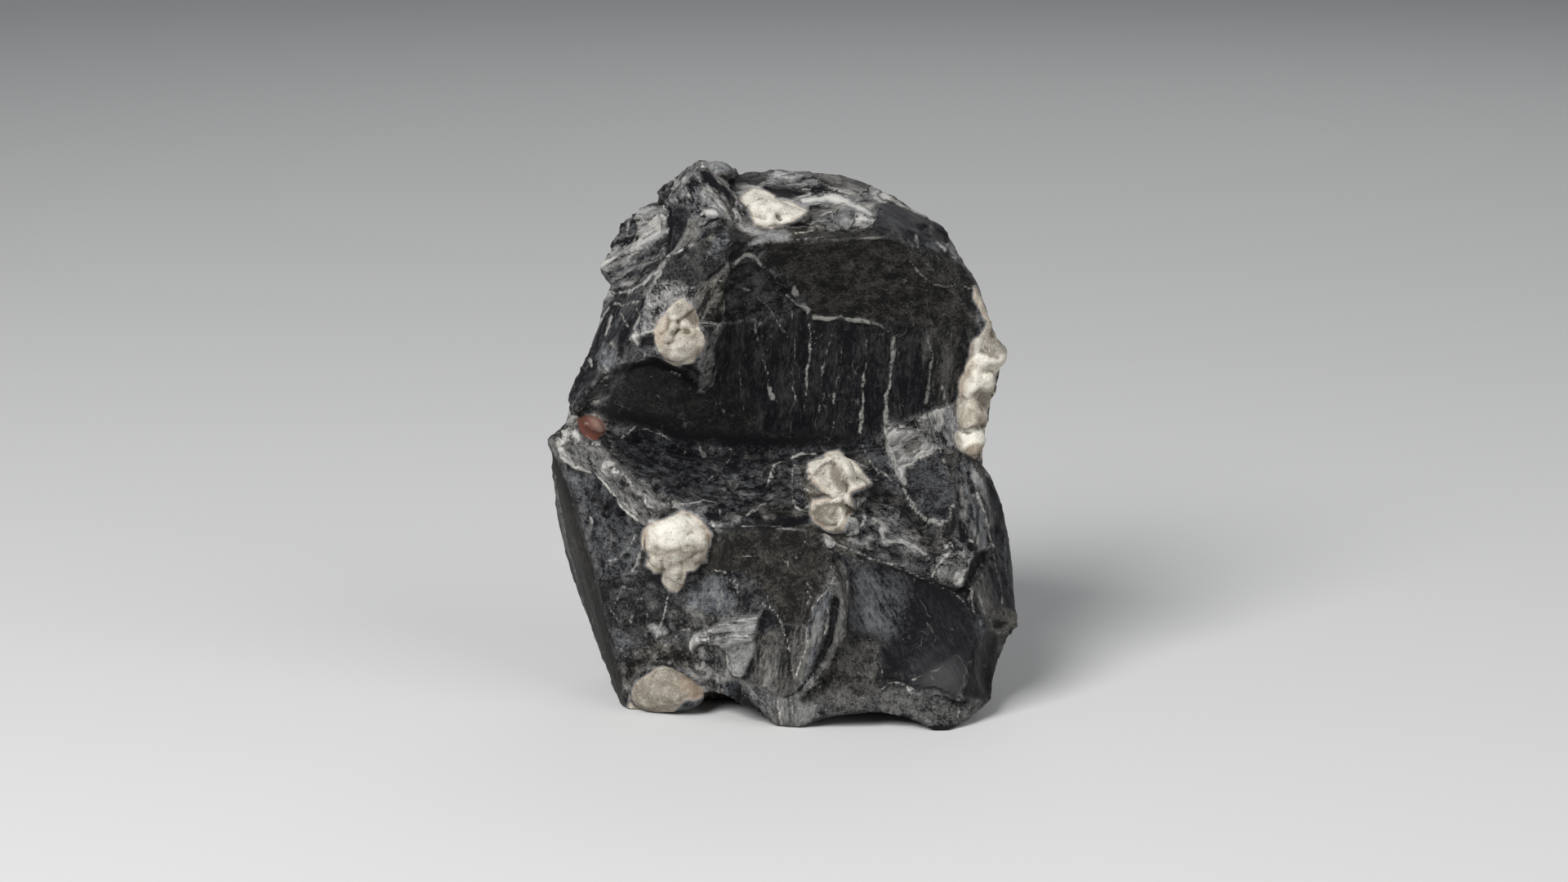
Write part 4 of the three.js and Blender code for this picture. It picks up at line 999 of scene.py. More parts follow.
        stroke(0.5, 0.65, [(25.8, -46.3), (26.2, -46.2)]),
        stroke(0.5, 0.65, [(27.4, -47.4), (27.8, -47.5)]),
        stroke(0.4, 0.45, [(13.4, -44.6), (14.4, -45.2)]),
    ],
    "cracks and painted shadow in the nodules": [
        stroke(0.6, -0.52, [(-20.4, 16.9), (-19.6, 17.3), (-19.1, 18.6), (-18.4, 19.2)], -0.9),
        stroke(0.9, -0.35, [(-19.4, 18.6), (-18.2, 19.3), (-16.6, 18.9)], -0.8),
        stroke(0.6, -0.28, [(-18.6, 19.4), (-18.4, 20.7)], -0.5),
        stroke(0.5, -0.28, [(-21.6, 18.6), (-20.6, 19.6), (-20.4, 21.6)], -0.5),
        stroke(0.5, -0.24, [(-18.6, 20.8), (-17.2, 21.8), (-15.6, 23)], -0.4),
        stroke(1.4, -0.59, [(-0.7, 39.2), (-0.6, 38.9)], -0.9),
        stroke(0.5, -0.62, [(5.2, -5.9), (6.4, -4.7), (8.2, -3.5), (9, -4.4)], -0.6),
        stroke(0.5, -0.21, [(10.2, -4.8), (11, -6.6), (10.9, -8.8)], -0.5),
        stroke(0.5, -0.28, [(10.9, -9), (10.2, -9.6), (9.4, -9.2)], -0.4),
        stroke(0.5, -0.28, [(7.4, -10.3), (4.6, -12.5)], -0.4),
        stroke(0.45, -0.4, [(5.8, -13.8), (7.6, -14.6), (9.2, -14.8)], -0.3),
        stroke(0.35, -0.3, [(8.4, -10.8), (7.4, -12.4), (6, -13.4)], -0.2),
        stroke(0.35, -0.3, [(9.2, -10.8), (8.7, -12.6), (8, -14)], -0.2),
        stroke(0.5, -0.28, [(9.8, -10.3), (10.5, -10.1), (12.3, -11.9)], -0.4),
        # These two are a painted shadow line under the dome of the left ridge, drawn like cracks with a small
        # groove.
        stroke(0.7, -0.1, [(-22.6, -18.6), (-20.8, -19.3), (-19, -19.4)], -0.3),
        stroke(0.7, -0.1, [(-17.6, -18.6), (-15.6, -18.3)], -0.3),
        stroke(0.6, -0.24, [(-21.4, -21), (-20.9, -22.4), (-21.2, -23.4)], -0.4),
        stroke(0.7, -0.21, [(-17.7, -21.4), (-17.6, -22.6), (-18, -24)], -0.3),
        stroke(0.5, -0.21, [(-24, -19.4), (-22.6, -19.9)], -0.2),
        stroke(0.5, -0.17, [(-16, -20.6), (-15, -19.6), (-14.2, -19.4)], -0.3),
        stroke(0.4, -0.35, [(-16.9, -13.8), (-16.4, -14.5)], -0.3),
        stroke(0.4, -0.28, [(-17, -16.6), (-16, -16)], -0.3),
        stroke(0.6, -0.42, [(31, 1.6), (33, 2.2), (35.6, 2.4)], -0.5),
        stroke(0.5, -0.25, [(31.2, 7.4), (32.6, 6.9)], -0.3),
        stroke(0.7, -0.42, [(33.9, 15.6), (35.2, 14.9), (37.4, 14.4)], -0.5),
        stroke(1.0, -0.42, [(36.4, 19.2), (36.7, 18.6)], -0.5),
        stroke(0.8, -0.35, [(35, 16.2), (35.6, 15.8)], -0.4),
    ],
}

# Small open bubbles: how many there are in each square centimetre of a patch.
BUBBLES = {
    "cheek, bubbled": 60, "shelf, bubbled": 60, "cheek": 10, "shelf": 8, "right of the tongue": 16,
}

# The chalky nodules of the front, drawn on the same plane. Their bloom runs from grey-brown to cream white.
CHALK = {
    "under the crown": patch(0.26, 0.2, [
        (-22.4, 16.3), (-22.4, 19.2), (-20.3, 21.8), (-17, 21.8), (-14.9, 19.8), (-14.2, 16.8), (-15.6, 14.1),
        (-18, 13), (-20.3, 14.1)], lift=0.3, soft=0.3),
    "under the crown, upper facets": patch(0.22, 0.0, [
        (-20.6, 22), (-18.6, 24.2), (-17.4, 24.9), (-15.8, 23.2), (-17, 21.5), (-18.4, 20.8), (-20.2, 21)],
        lift=0.3, soft=0.35),
    # A painted shadow: a dark triangle on the nodule, made of darker chalk and a slight dip.
    "under the crown, painted shadow": patch(-0.3, 0.1, [
        (-17.4, 21.9), (-15.8, 23.1), (-14.6, 20.6), (-16.2, 20)], lift=-0.1, soft=0.3),
    "under the crown, pinkish side": patch(0.35, 0.55, [
        (-22.7, 19.2), (-21.8, 21.2), (-20.6, 21.8), (-20.4, 19.4), (-21.2, 16.6), (-22.3, 16.2)], soft=0.5),
    "under the crown, bright foot": patch(0.5, 0.15, [
        (-20.2, 16.4), (-18.4, 17.4), (-15.4, 16.6), (-16, 14.6), (-18, 13.6), (-19.8, 14.6)], lift=0.2,
        soft=0.7),
    "fan under the star": patch(-0.14, 0.0, [
        (4.4, -12.4), (7.4, -10.6), (9.8, -10.3), (12.2, -11.9), (10.8, -13.4), (10, -15), (8.4, -15.3),
        (5.4, -14.4)], lift=0.2, soft=0.25),
    "star": patch(0.55, 0.0, [
        (7.2, -2), (9.4, -1.6), (10.7, -3.4), (12.9, -4.6), (14.5, -6.7), (15.2, -7.5), (13.4, -8.2),
        (11.2, -9), (12.5, -11.9), (11, -10.7), (9.8, -10.5), (7.8, -11.1), (4.6, -12.6), (4.4, -10.8),
        (6.8, -10), (8.3, -9.7), (6.2, -8.2), (3.9, -6.2), (5, -6), (7, -3.6)], lift=0.6, soft=0.2),
    "star, grey heart": patch(-0.08, 0.05, [
        (8.3, -3.7), (10, -4.8), (10.9, -7.8), (9.6, -8.8), (8.6, -7.4), (7.6, -5.4)], lift=-0.3, soft=0.5),
    "star, speckled side": patch(0.4, 0.05, [
        (5, -6.2), (7.6, -4.3), (8.6, -7.4), (7.6, -9), (6.4, -8.4)], soft=0.4, lift=-0.1),
    "star, block": patch(0.75, -0.05, [
        (3.9, -5.3), (5, -5.9), (7.3, -3.9), (6.9, -3), (5.8, -3.2), (4.6, -4.2)], lift=0.5, soft=0.2),
    "fan, bright facet": patch(0.46, -0.1, [
        (9, -11.4), (10.4, -11.9), (10.6, -14.2), (9.6, -14.9), (9.2, -13.4)], lift=0.2, soft=0.4),
    "fan, dark facet": patch(-0.1, -0.05, [
        (10.1, -10.4), (12.3, -11.9), (11.6, -13), (10.3, -13.2)], lift=-0.2, soft=0.3),
    "fan, lip": patch(-0.05, -0.1, [
        (7, -14.4), (8.7, -14.9), (10.4, -14.3), (10.2, -15.2), (8.6, -15.6), (6.8, -15)], soft=0.4),
    "left ridge": patch(0.25, 0.15, [
        (-24.4, -15.2), (-24.2, -18.8), (-23.4, -20.4), (-23.8, -21.6), (-22.6, -22.8), (-21, -22.6),
        (-21, -24.4), (-20, -26), (-18.6, -26.3), (-17.6, -25.4), (-17, -22.8), (-15.8, -22.6),
        (-13.8, -20.6), (-13.2, -17.6), (-12.8, -16.2), (-14.4, -14.2), (-16.2, -12.6), (-17.6, -12.2),
        (-20, -13), (-22, -14.2)], lift=0.15, soft=0.3),
    # The top of the dome is painted paler than the darker lower half of the nodule: a painted highlight where
    # the light falls, with a little lift.
    "left ridge, dome with painted highlight": patch(0.78, 0.0, [
        (-24, -15.4), (-22, -14.3), (-20, -13.3), (-17.6, -12.6), (-15.4, -13.4), (-13.6, -15.6),
        (-14.6, -17.4), (-16.8, -18), (-19.5, -18.7), (-22.2, -17.8), (-23.8, -18.2)], lift=0.35, soft=1.2),
    "left ridge, its tooth": patch(0.5, 0.1, [
        (-21, -21.6), (-18.8, -20.8), (-17.9, -22.5), (-18, -25), (-19.4, -25.8), (-20.8, -24.2)], lift=0.2,
        soft=0.8),
    "left ridge, small lobes": patch(0.4, 0.2, [
        (-23.8, -20.6), (-21.4, -20.2), (-20.8, -21.8), (-22.6, -22.4)], lift=0.2, soft=0.6),
    "left ridge, pinkish edge": patch(0.5, 0.8, [
        (-24.6, -18.8), (-24.5, -15.4), (-23.4, -14.8), (-23.4, -18.4)], soft=0.5),
    "top ledge": patch(0.68, -0.2, [
        (-8.2, 42), (-5, 43.7), (-3, 43.2), (-1, 41.7), (1, 41.3), (4, 39.9), (2.2, 38.6), (0, 37.9),
        (-2, 37), (-5, 37.3), (-5.6, 40)], lift=0.25, soft=0.3),
    "left foot": patch(0.04, 0.05, [
        (-26.7, -44), (-25.5, -42.3), (-24, -41), (-22, -39.6), (-20, -39.3), (-17, -40), (-15.4, -41.3),
        (-14.9, -43), (-15.3, -44.6), (-17.5, -45.2), (-18.8, -46.4), (-20, -47.8), (-23, -49), (-25, -48.6),
        (-27, -46.4)], lift=0.1, soft=0.3),
    "left foot, pinkish end": patch(-0.15, 0.6, [
        (-18, -40.4), (-15.2, -41.4), (-13.6, -44.4), (-16.4, -45), (-18, -43.4)], soft=0.9),
    "right shoulder": patch(0.02, 0.15, [
        (32.8, 26.8), (33.5, 24.4), (34.6, 22.1), (35.4, 20.5), (39, 19.6), (37, 24.1), (34, 27.4)],
        soft=0.4),
    "right shoulder, yellow streak": patch(0.3, 0.45, [
        (32.9, 26.6), (34.1, 25), (35.3, 22.6), (36.1, 20.7), (35.3, 20.7), (34.3, 22.3), (33.2, 24.6)],
        soft=0.4, lift=0.15),
    "right shoulder, grey": patch(0.16, -0.1, [
        (35.3, 20.5), (34.1, 18.2), (33.9, 15.6), (36, 14.6), (38, 14.8), (39.6, 16.4), (38.8, 20)],
        soft=0.4),
    "right edge, high": patch(0.62, 0.0, [
        (32.4, 14), (33.7, 15.2), (36, 14.5), (37.4, 12.6), (36.4, 10.8), (33.6, 8.6), (32.2, 7), (30.8, 7.4),
        (30.7, 10.4)], lift=0.3, soft=0.35),
    "right edge, pinkish side": patch(0.42, 0.75, [
        (30.6, 10.4), (32.3, 14), (33.4, 13.8), (32, 10.6), (31.7, 7.4), (30.7, 7.2)], soft=0.5),
    "right edge, middle": patch(0.3, 0.25, [
        (30.4, 7.2), (32.2, 7), (33.6, 8.6), (37.4, 10), (36.8, 5.2), (33.6, 5), (30.4, 4.6)], soft=0.4),
    "right edge, cream": patch(0.25, 0.35, [
        (30.5, 4.8), (33.6, 5.2), (36.8, 5.2), (36, 2.2), (30.7, 1.6)], lift=0.1, soft=0.3),
    "right edge, low": patch(0.95, -0.1, [
        (30.8, 1.7), (36, 2.5), (36, -0.6), (33, -0.4), (31.4, -1.2)], lift=0.2, soft=0.3),
    "right edge, underside": patch(0.05, 0.7, [
        (31.2, -1), (33, -0.4), (36, -0.6), (35.6, -3), (33, -3.2)], soft=0.4),
}

# The nodules that the areas above draw. Only their drawn part is chalky.
OUTLINED = {
    "under the crown", "wedge over it", "star on the shelf", "under the star", "left ridge", "its lower lobe",
    "left foot", "top ledge", "ring on the ledge", "crown cap",
}


# ---- The fine mesh -------------------------------------------------------------------------------


def mesh_places(mesh):
    """Where the corners of a mesh are, in the frame of the lists."""
    flat = np.empty(3 * len(mesh.vertices), np.float32)
    mesh.vertices.foreach_get("co", flat)
    return flat.reshape(-1, 3).astype(float) / MM + ORIGIN


def put_places(mesh, places):
    """Moves the corners of a mesh to places in the frame of the lists."""
    mesh.vertices.foreach_set("co", ((places - ORIGIN) * MM).astype(np.float32).ravel())
    mesh.update()


def fine_skin():
    """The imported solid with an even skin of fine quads."""
    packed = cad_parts["obsidian"]
    stone = bpy.data.objects.new("stone", packed.data.copy())
    stone.data.materials.clear()
    bpy.context.scene.collection.objects.link(stone)
    remesh = stone.modifiers.new("even skin", "REMESH")
    remesh.mode = "VOXEL"
    remesh.voxel_size = SKIN * MM
    bpy.context.view_layer.update()
    even = bpy.data.meshes.new_from_object(stone.evaluated_get(bpy.context.evaluated_depsgraph_get()))
    stone.modifiers.clear()
    stone.data = even
    return stone


# ---- Markings laid on the surface ----------------------------------------------------------------

ACROSS = np.array([1.0, 0.0, 0.0])
SIGHT = np.array([0.0, math.cos(CAMERA_TILT), -math.sin(CAMERA_TILT)])
UPWARD = np.array([0.0, math.sin(CAMERA_TILT), math.cos(CAMERA_TILT)])
FRAY = 0.4  # how far the drawn borders wander
FEATHER = 0.8  # over which a line's value falls from its middle
GRAIN_RUN = 4  # how many times longer than wide the grain is
DRAW_SEED = 7
SNOWFLAKES = 110  # strewn over the sides and the back
SMALLEST_FLAKE, FLAKE_RANGE = 0.9, 2.6
SMALLEST_BUBBLE, BUBBLE_RANGE = 0.22, 0.5
BUBBLE_DEPTH = 1.1  # of its radius
SQUARE_CM = 100  # in square millimetres
LINE_FOOT = 0.35  # how far the lift of a line reaches past it
EDGE_ON = 0.06  # the markings fade out where the surface turns this far from edge-on
CHALK_EDGE = 0.8  # over which the chalk fades out round its areas
LOOKS = (
    "bloom", "tint", "mottle", "line", "line strength", "crack", "crack strength", "pit", "chalk", "cream",
    "bead",
)


def on_window(places):
    """Where places show on the plane of the markings, and how far behind it they lie."""
    away = places - (AIM - CAMERA_AWAY * SIGHT)
    depth = away @ SIGHT
    seen = CAMERA_AWAY * np.stack([away @ ACROSS, away @ UPWARD], axis=1) / depth[:, None]
    return seen, depth - CAMERA_AWAY


def from_line(spots, points, closed=False):
    """How far spots are from the line through points. A closed line has values below 0 inside."""
    points = np.array(points, float)
    far = np.full(len(spots), np.inf)
    inside = np.zeros(len(spots), bool)
    for start, end in zip(points, np.roll(points, -1, axis=0) if closed else points[1:]):
        run = end - start
        share = np.clip((spots - start) @ run / (run @ run), 0, 1)
        far = np.minimum(far, np.linalg.norm(spots - start - share[:, None] * run, axis=1))
        if closed and run[1]:
            crossed = (start[1] > spots[:, 1]) != (end[1] > spots[:, 1])
            inside ^= crossed & (spots[:, 0] < start[0] + run[0] * (spots[:, 1] - start[1]) / run[1])
    return np.where(inside, -far, far)


def close_to(spots, points, margin):
    """The numbers of the spots that lie within a margin of the box round the points."""
    low, high = np.min(points, axis=0) - margin, np.max(points, axis=0) + margin
    return np.flatnonzero(((spots > low) & (spots < high)).all(axis=1))


def ramp_up(spots, area):
    """How high the ramp of a patch is at spots."""
    slant, height = area["ramp"]
    climb = (math.cos(math.radians(slant)), math.sin(math.radians(slant)))
    along = np.array(area["outline"]) @ climb
    return height * np.clip((spots @ climb - along.min()) / np.ptp(along), 0, 1)


def lay_patches(patches, marks, places, frayed, faces, flat, depth):
    """Lays patches over each other, the later ones on top."""
    for area in patches.values():
        near = close_to(frayed, area["outline"], area["soft"] + 0.1)
        inward = -from_line(frayed[near], area["outline"], closed=True)
        cover = rise(-area["soft"], area["soft"], inward) * faces[near]
        for what in ("bloom", "tint", "mottle", "ridged"):
            marks[what][near] += cover * (area[what] - marks[what][near])
        marks["lift"][near] += cover * (area["lift"] + ramp_up(frayed[near], area))
        mine = near[cover > 0.5]
        if area["comb"] is None:
            marks["grain"][mine] = places[mine]
        else:
            turn = math.radians(area["comb"])
            along = flat[mine] @ (math.cos(turn), math.sin(turn))
            aside = flat[mine] @ (-math.sin(turn), math.cos(turn))
            marks["grain"][mine] = np.stack([aside, along / GRAIN_RUN, depth[mine] / 3], axis=1)


def lay_strokes(marks, places, frayed, faces):
    """Draws the pale lines, and the dark ones: cracks, and a painted shadow line on the left ridge."""
    uneven = 0.75 + 0.5 * clouds(places, 1.7, layers=2, seed=21)
    for line in itertools.chain.from_iterable(STROKES.values()):
        half = line["width"] / 2
        near = close_to(frayed, line["points"], half + FEATHER)
        far = from_line(frayed[near], line["points"])
        value = np.clip(0.5 + (half * uneven[near] - far) / (2 * FEATHER), 0, 1) * faces[near]
        kind = "line" if line["strength"] > 0 else "crack"
        stronger = value > marks[kind][near]
        marks[kind][near[stronger]] = value[stronger]
        marks[kind + " strength"][near[stronger]] = abs(line["strength"])
        marks["lift"][near] += line["lift"] * rise(0, 1, 1 - far / (half + LINE_FOOT)) * faces[near]


def open_bubbles(marks, flat, faces, draw):
    """Strews small open bubbles over the patches that have them."""
    for name, crowd in BUBBLES.items():
        outline = np.array(PATCHES[name]["outline"], float)
        low, high = outline.min(axis=0), outline.max(axis=0)
        for _ in range(int(crowd * np.prod(high - low) / SQUARE_CM)):
            spot = draw.uniform(low, high)
            radius = SMALLEST_BUBBLE + BUBBLE_RANGE * draw.random() ** 2
            if from_line(spot[None], outline, closed=True)[0] > -radius:
                continue
            near = close_to(flat, [spot], radius + 0.5)
            far = np.linalg.norm(flat[near] - spot, axis=1) / radius
            marks["lift"][near] -= BUBBLE_DEPTH * radius * np.sqrt(np.maximum(1 - far * far, 0)) * faces[near]
            marks["pit"][near] = np.maximum(marks["pit"][near], np.clip(1.5 - far, 0, 1) * faces[near])


def chips(places, size, draw):
    """Small hollow chip marks: 0 in the middle of each and up to 1 along the edges where they meet."""
    low, high = places.min(axis=0), places.max(axis=0)
    blows = draw.uniform(low, high, (int(np.prod((high - low) / size)) + 1, 3))
    tree = KDTree(len(blows))
    for number, blow in enumerate(blows):
        tree.insert(blow, number)
    tree.balance()
    away = np.array([tree.find(place)[2] for place in places])
    return np.minimum(away / size, 1) ** 2


def lay_default(marks, places, draw):
    """The look of the sides and the back: each scar has its own dust, and ripples that run from its blow."""
    owner_block, owner_scar = glass_field(places)[1:]
    drift = clouds(places, 9, layers=3, seed=31)
    marks["bloom"][:] = 0.13 + 0.16 * drift
    marks["tint"][:] = 0.9 * clouds(places, 16, layers=2, seed=32)
    marks["mottle"][:] = 0.65 + 0.3 * drift
    for number, block in enumerate(BLOCKS.values()):
        for scar_number, each in enumerate(block["scars"].values()):
            dust, tone, evenness = draw.uniform((0.15, -0.35, 0.2), (1.1, 0.35, 1))
            mine = (owner_block == number) & (owner_scar == scar_number)
            marks["bloom"][mine] *= dust
            marks["tint"][mine] += tone
            marks["mottle"][mine] *= evenness
            away = places[mine] - each["strike"]
            reach = np.linalg.norm(away, axis=1)
            ripples = np.sin(2 * math.pi * (reach + 1.2 * drift[mine]) / each["spacing"])
            fading = 0.4 + 0.6 * rise(-0.3, 0.5, clouds(places[mine], 12, layers=2, seed=33))
            marks["lift"][mine] += each["ripple"] * ripples * fading
            spokes = clouds(away / np.maximum(reach, 1)[:, None] * 24, 1.6, layers=2, seed=34)
            marks["lift"][mine] += 1.4 * each["ripple"] * spokes * fading
    marks["bloom"][:] = np.clip(marks["bloom"], 0.02, 0.8)


def lay_nodules(marks, places, flat, faces):
    """Makes the red bead red and the nodules chalky that no area draws."""
    for name, nodule in NODULES.items():
        inner = rise(1.1, -0.1, nodule_field(places, *nodule))
        if name == "red bead":
            outline = PATCHES["bead"]["outline"]
            near = close_to(flat, outline, 1)
            drawn = rise(-0.8, 0.8, -from_line(flat[near], outline, closed=True)) * faces[near]
            marks["bead"] = inner
            marks["bead"][near] = np.maximum(inner[near], drawn)
        elif name not in OUTLINED:
            marks["chalk"] = np.maximum(marks["chalk"], inner)


def lay_chalk(marks, places, frayed, faces):
    """Lays the chalky areas over each other, the later ones on top."""
    marks["cream"][:] = 0.5 + 0.5 * clouds(places, 5, layers=2, seed=51)
    for area in CHALK.values():
        near = close_to(frayed, area["outline"], area["soft"] + CHALK_EDGE)
        inward = -from_line(frayed[near], area["outline"], closed=True)
        inner = rise(-CHALK_EDGE, 0.5, inward) * faces[near]
        marks["chalk"][near] = np.maximum(marks["chalk"][near], inner)
        cover = rise(-area["soft"], area["soft"], inward) * faces[near]
        marks["cream"][near] += cover * (area["bloom"] - marks["cream"][near])
        marks["tint"][near] += cover * (area["tint"] - marks["tint"][near])
        marks["lift"][near] += cover * (area["lift"] + ramp_up(frayed[near], area))


def roughen(marks, places, draw):
    """Adds chip marks, ridges and lumps to the lift, and keeps it off the ground and within its limit."""
    lift, grain = marks["lift"], marks["grain"]
    firm = rise(0.35, 0.65, marks["chalk"])
    rugged = rise(0.2, 0.95, marks["mottle"]) * (1 - firm)
    lift += rugged * (0.75 * chips(grain + places * 0.2, 4.2, draw) - 0.2)
    lift += rugged * 0.3 * chips(grain + places * 0.2, 1.9, draw)
    lift += 0.28 * clouds(places, 13, layers=2, seed=61)
    lift += marks["ridged"] * (1 - 2 * np.abs(cloud(grain, 1.3, seed=62)))
    lumps = 0.34 * clouds(places, 2.8, layers=2, seed=63) + 0.14 * clouds(places, 1.0, layers=2, seed=64)
    lift += firm * lumps
    lift += 0.09 * (1 - firm) * marks["mottle"] * clouds(grain, 1.4, layers=2, seed=65)
    lift *= rise(0.25, 1.6, places[:, 2])
    np.clip(lift, -MOST_RELIEF, MOST_RELIEF, out=lift)


def strew_snowflakes(marks, places, out, draw):
    """Flat grey-white flakes over the sides and the back, each a knobby cluster."""
    hidden = np.flatnonzero(out @ SIGHT > 0.1)
    for _ in range(SNOWFLAKES):
        middle = places[hidden[draw.integers(len(hidden))]]
        size = SMALLEST_FLAKE + FLAKE_RANGE * draw.random() ** 2
        near = np.flatnonzero(np.linalg.norm(places - middle, axis=1) < 1.8 * size)
        away = places[near] - middle
        knobby = np.linalg.norm(away, axis=1) / size
        knobby += 0.9 * clouds(places[near], size * 0.6, layers=3, seed=41)
        cover = rise(1.0, 0.7, knobby) * rise(0.0, 0.25, out[near] @ SIGHT)
        marks["bloom"][near] += cover * (draw.uniform(0.45, 1.0) - marks["bloom"][near])
        marks["tint"][near] -= cover * marks["tint"][near]
        marks["lift"][near] += 0.15 * cover


def ridges_of(mesh, places, out):
    """How sharply the surface bends outwards at each place, per millimetre and a little spread out."""
    pairs = np.empty(2 * len(mesh.edges), np.int64)
    mesh.edges.foreach_get("vertices", pairs)
    a, b = pairs.reshape(-1, 2).T
    run = places[b] - places[a]
    length = (run * run).sum(axis=1)
    count = np.bincount(a, minlength=len(places)) + np.bincount(b, minlength=len(places))
    bend = np.bincount(a, -2 * (run * out[a]).sum(axis=1) / length, len(places))
    bend += np.bincount(b, 2 * (run * out[b]).sum(axis=1) / length, len(places))
    bend /= count
    for _ in range(2):
        spread = np.bincount(a, bend[b], len(places)) + np.bincount(b, bend[a], len(places))
        bend = 0.5 * bend + 0.5 * spread / count
    return bend


def mark_stone(places, out):
    """Every marking at each place, with lift for how far it stands out there."""
    draw = np.random.default_rng(DRAW_SEED)
    marks = {what: np.zeros(len(places)) for what in (*LOOKS, "ridged", "lift")}
    marks["grain"] = places.copy()
    lay_default(marks, places, draw)
    strew_snowflakes(marks, places, out, draw)
    flat, depth = on_window(places)
    faces = rise(-EDGE_ON, EDGE_ON, -(out @ SIGHT))
    frayed = flat + FRAY * np.stack([clouds(places, 2.4, layers=3, seed=seed) for seed in (11, 12)], axis=1)
    lay_patches(PATCHES, marks, places, frayed, faces, flat, depth)
    lay_strokes(marks, places, frayed, faces)
    open_bubbles(marks, flat, faces, draw)
    lay_nodules(marks, places, flat, faces)
    lay_chalk(marks, places, frayed, faces)
    roughen(marks, places, draw)
    return marks


def halve_front(mesh, out):
    """Halves the edges of the quads that face the front."""
    shape = bmesh.new()
    shape.from_mesh(mesh)
    faces = out @ SIGHT < HALVED_UP_TO
    edges = [edge for edge in shape.edges if faces[edge.verts[0].index] and faces[edge.verts[1].index]]
    bmesh.ops.subdivide_edges(shape, edges=edges, cuts=1, use_grid_fill=True)
    shape.to_mesh(mesh)
    shape.free()


def keep_mark(mesh, name, values):
    """Stores a marking with the mesh, for the material to read."""
    kind, slot = ("FLOAT_VECTOR", "vector") if values.ndim == 2 else ("FLOAT", "value")
    layer = mesh.attributes.new(name, kind, "POINT")
    layer.data.foreach_set(slot, values.astype(np.float32).ravel())


stone = fine_skin()
places, out = settle(mesh_places(stone.data), FIRST_STEPS)
put_places(stone.data, places)
halve_front(stone.data, out)
places, out = settle(mesh_places(stone.data), LAST_STEPS)
marks = mark_stone(places, out)
places += out * marks["lift"][:, None]
places[:, 2] = np.maximum(places[:, 2], 0)
put_places(stone.data, places)
bend = ridges_of(stone.data, places, out)
# How sharply the surface bends outwards: pale worn edges on the glass, and on the chalk also a painted
# highlight.
marks["worn"] = rise(0.25, 1.3, bend)
# How sharply the surface bends inwards; the material darkens the dust and the chalk there, as painted shade in
# the creases.
marks["crease"] = rise(0.12, 0.9, -bend)
for what in (*LOOKS, "worn", "crease", "grain"):
    keep_mark(stone.data, what, marks[what])
for face in stone.data.polygons:
    face.use_smooth = True

# ---- Materials -----------------------------------------------------------------------------------

GREY_DUST = (0.36, 0.36, 0.355, 1)
BLUE_DUST = (0.27, 0.32, 0.385, 1)
BROWN_DUST = (0.35, 0.3, 0.22, 1)
BLACK_GLASS = (0.006, 0.006, 0.0075, 1)
BROWN_GLASS = (0.013, 0.0115, 0.0075, 1)
WORN_LINE = (0.54, 0.525, 0.485, 1)
CREAM_CHALK = (0.735, 0.706, 0.615, 1)
BROWN_CHALK = (0.168, 0.148, 0.115, 1)
DEEP_CHALK = (0.085, 0.066, 0.046, 1)
RUSTY_CHALK = (0.36, 0.24, 0.17, 1)
RED_BEAD = (0.115, 0.042, 0.032, 1)
DARK_BEAD = (0.07, 0.035, 0.026, 1)
# The pink of the painted highlight on the bead.
BEAD_HIGHLIGHT_PINK = (0.42, 0.29, 0.24, 1)
GLASS_ROUGH = 0.37
DUST_ROUGH = 0.78
BEAD_ROUGH = 0.25
GLASS_IOR = 1.49
GLASS_SHINE = 0.11


class Value:
    """One output in a material. The usual operators on it add Math nodes."""

    def __init__(self, finish, socket):
        self.finish = finish
        self.socket = socket

    def math(self, operation, a, b):
        return self.finish.add("Math", {0: a, 1: b}, operation=operation)

    def __add__(self, other):
        return self.math("ADD", self, other)

    def __sub__(self, other):
        return self.math("SUBTRACT", self, other)

    def __rsub__(self, other):
        return self.math("SUBTRACT", other, self)

    def __mul__(self, other):
        return self.math("MULTIPLY", self, other)

    def __pow__(self, other):
        return self.math("POWER", self, other)

    def most(self, other):
        return self.math("MAXIMUM", self, other)

    def clamped(self):
        return self.finish.add("Clamp", {"Value": self})

    __radd__ = __add__
    __rmul__ = __mul__


class Finish:
    """A material under its plain name, and the nodes that make it."""

    def __init__(self, name):
        self.material = bpy.data.materials.new(name)
        self.material.use_nodes = True
        self.tree = self.material.node_tree
        self.shader = self.tree.nodes["Principled BSDF"]

    def feed(self, socket, value):
        """Links a value to a socket, or sets the socket to a plain number or colour."""
        if isinstance(value, Value):
            self.tree.links.new(value.socket, socket)
        else:
            socket.default_value = value

    def add(self, kind, sockets=None, output=0, **settings):
        """One output of a new node. Its settings are made first, and then its sockets are fed."""
        node = self.tree.nodes.new("ShaderNode" + kind)
        for name, setting in settings.items():
            setattr(node, name, setting)
        for key, value in (sockets or {}).items():
            self.feed(node.inputs[key], value)
        return Value(self, node.outputs[output])

    def mark(self, name, output="Fac"):
        """A marking that is kept with the mesh."""
        return self.add("Attribute", output=output, attribute_name=name)

    def rise(self, low, high, value):
        """0 below low, 1 above high, and smooth between them."""
        ends = {"Value": value, "From Min": low, "From Max": high}
        return self.add("MapRange", ends, interpolation_type="SMOOTHSTEP")

    def blend(self, share, a, b):
        """Colour a where share is 0 and colour b where it is 1."""
        return self.add("Mix", {0: share, 6: a, 7: b}, output=2, data_type="RGBA")

    def noise(self, where, per_mm, detail=3, rough=0.6):
        """Noise from 0 to 1 with so many lumps in a millimetre."""
        return self.add("TexNoise", {"Vector": where, "Scale": per_mm, "Detail": detail, "Roughness": rough})


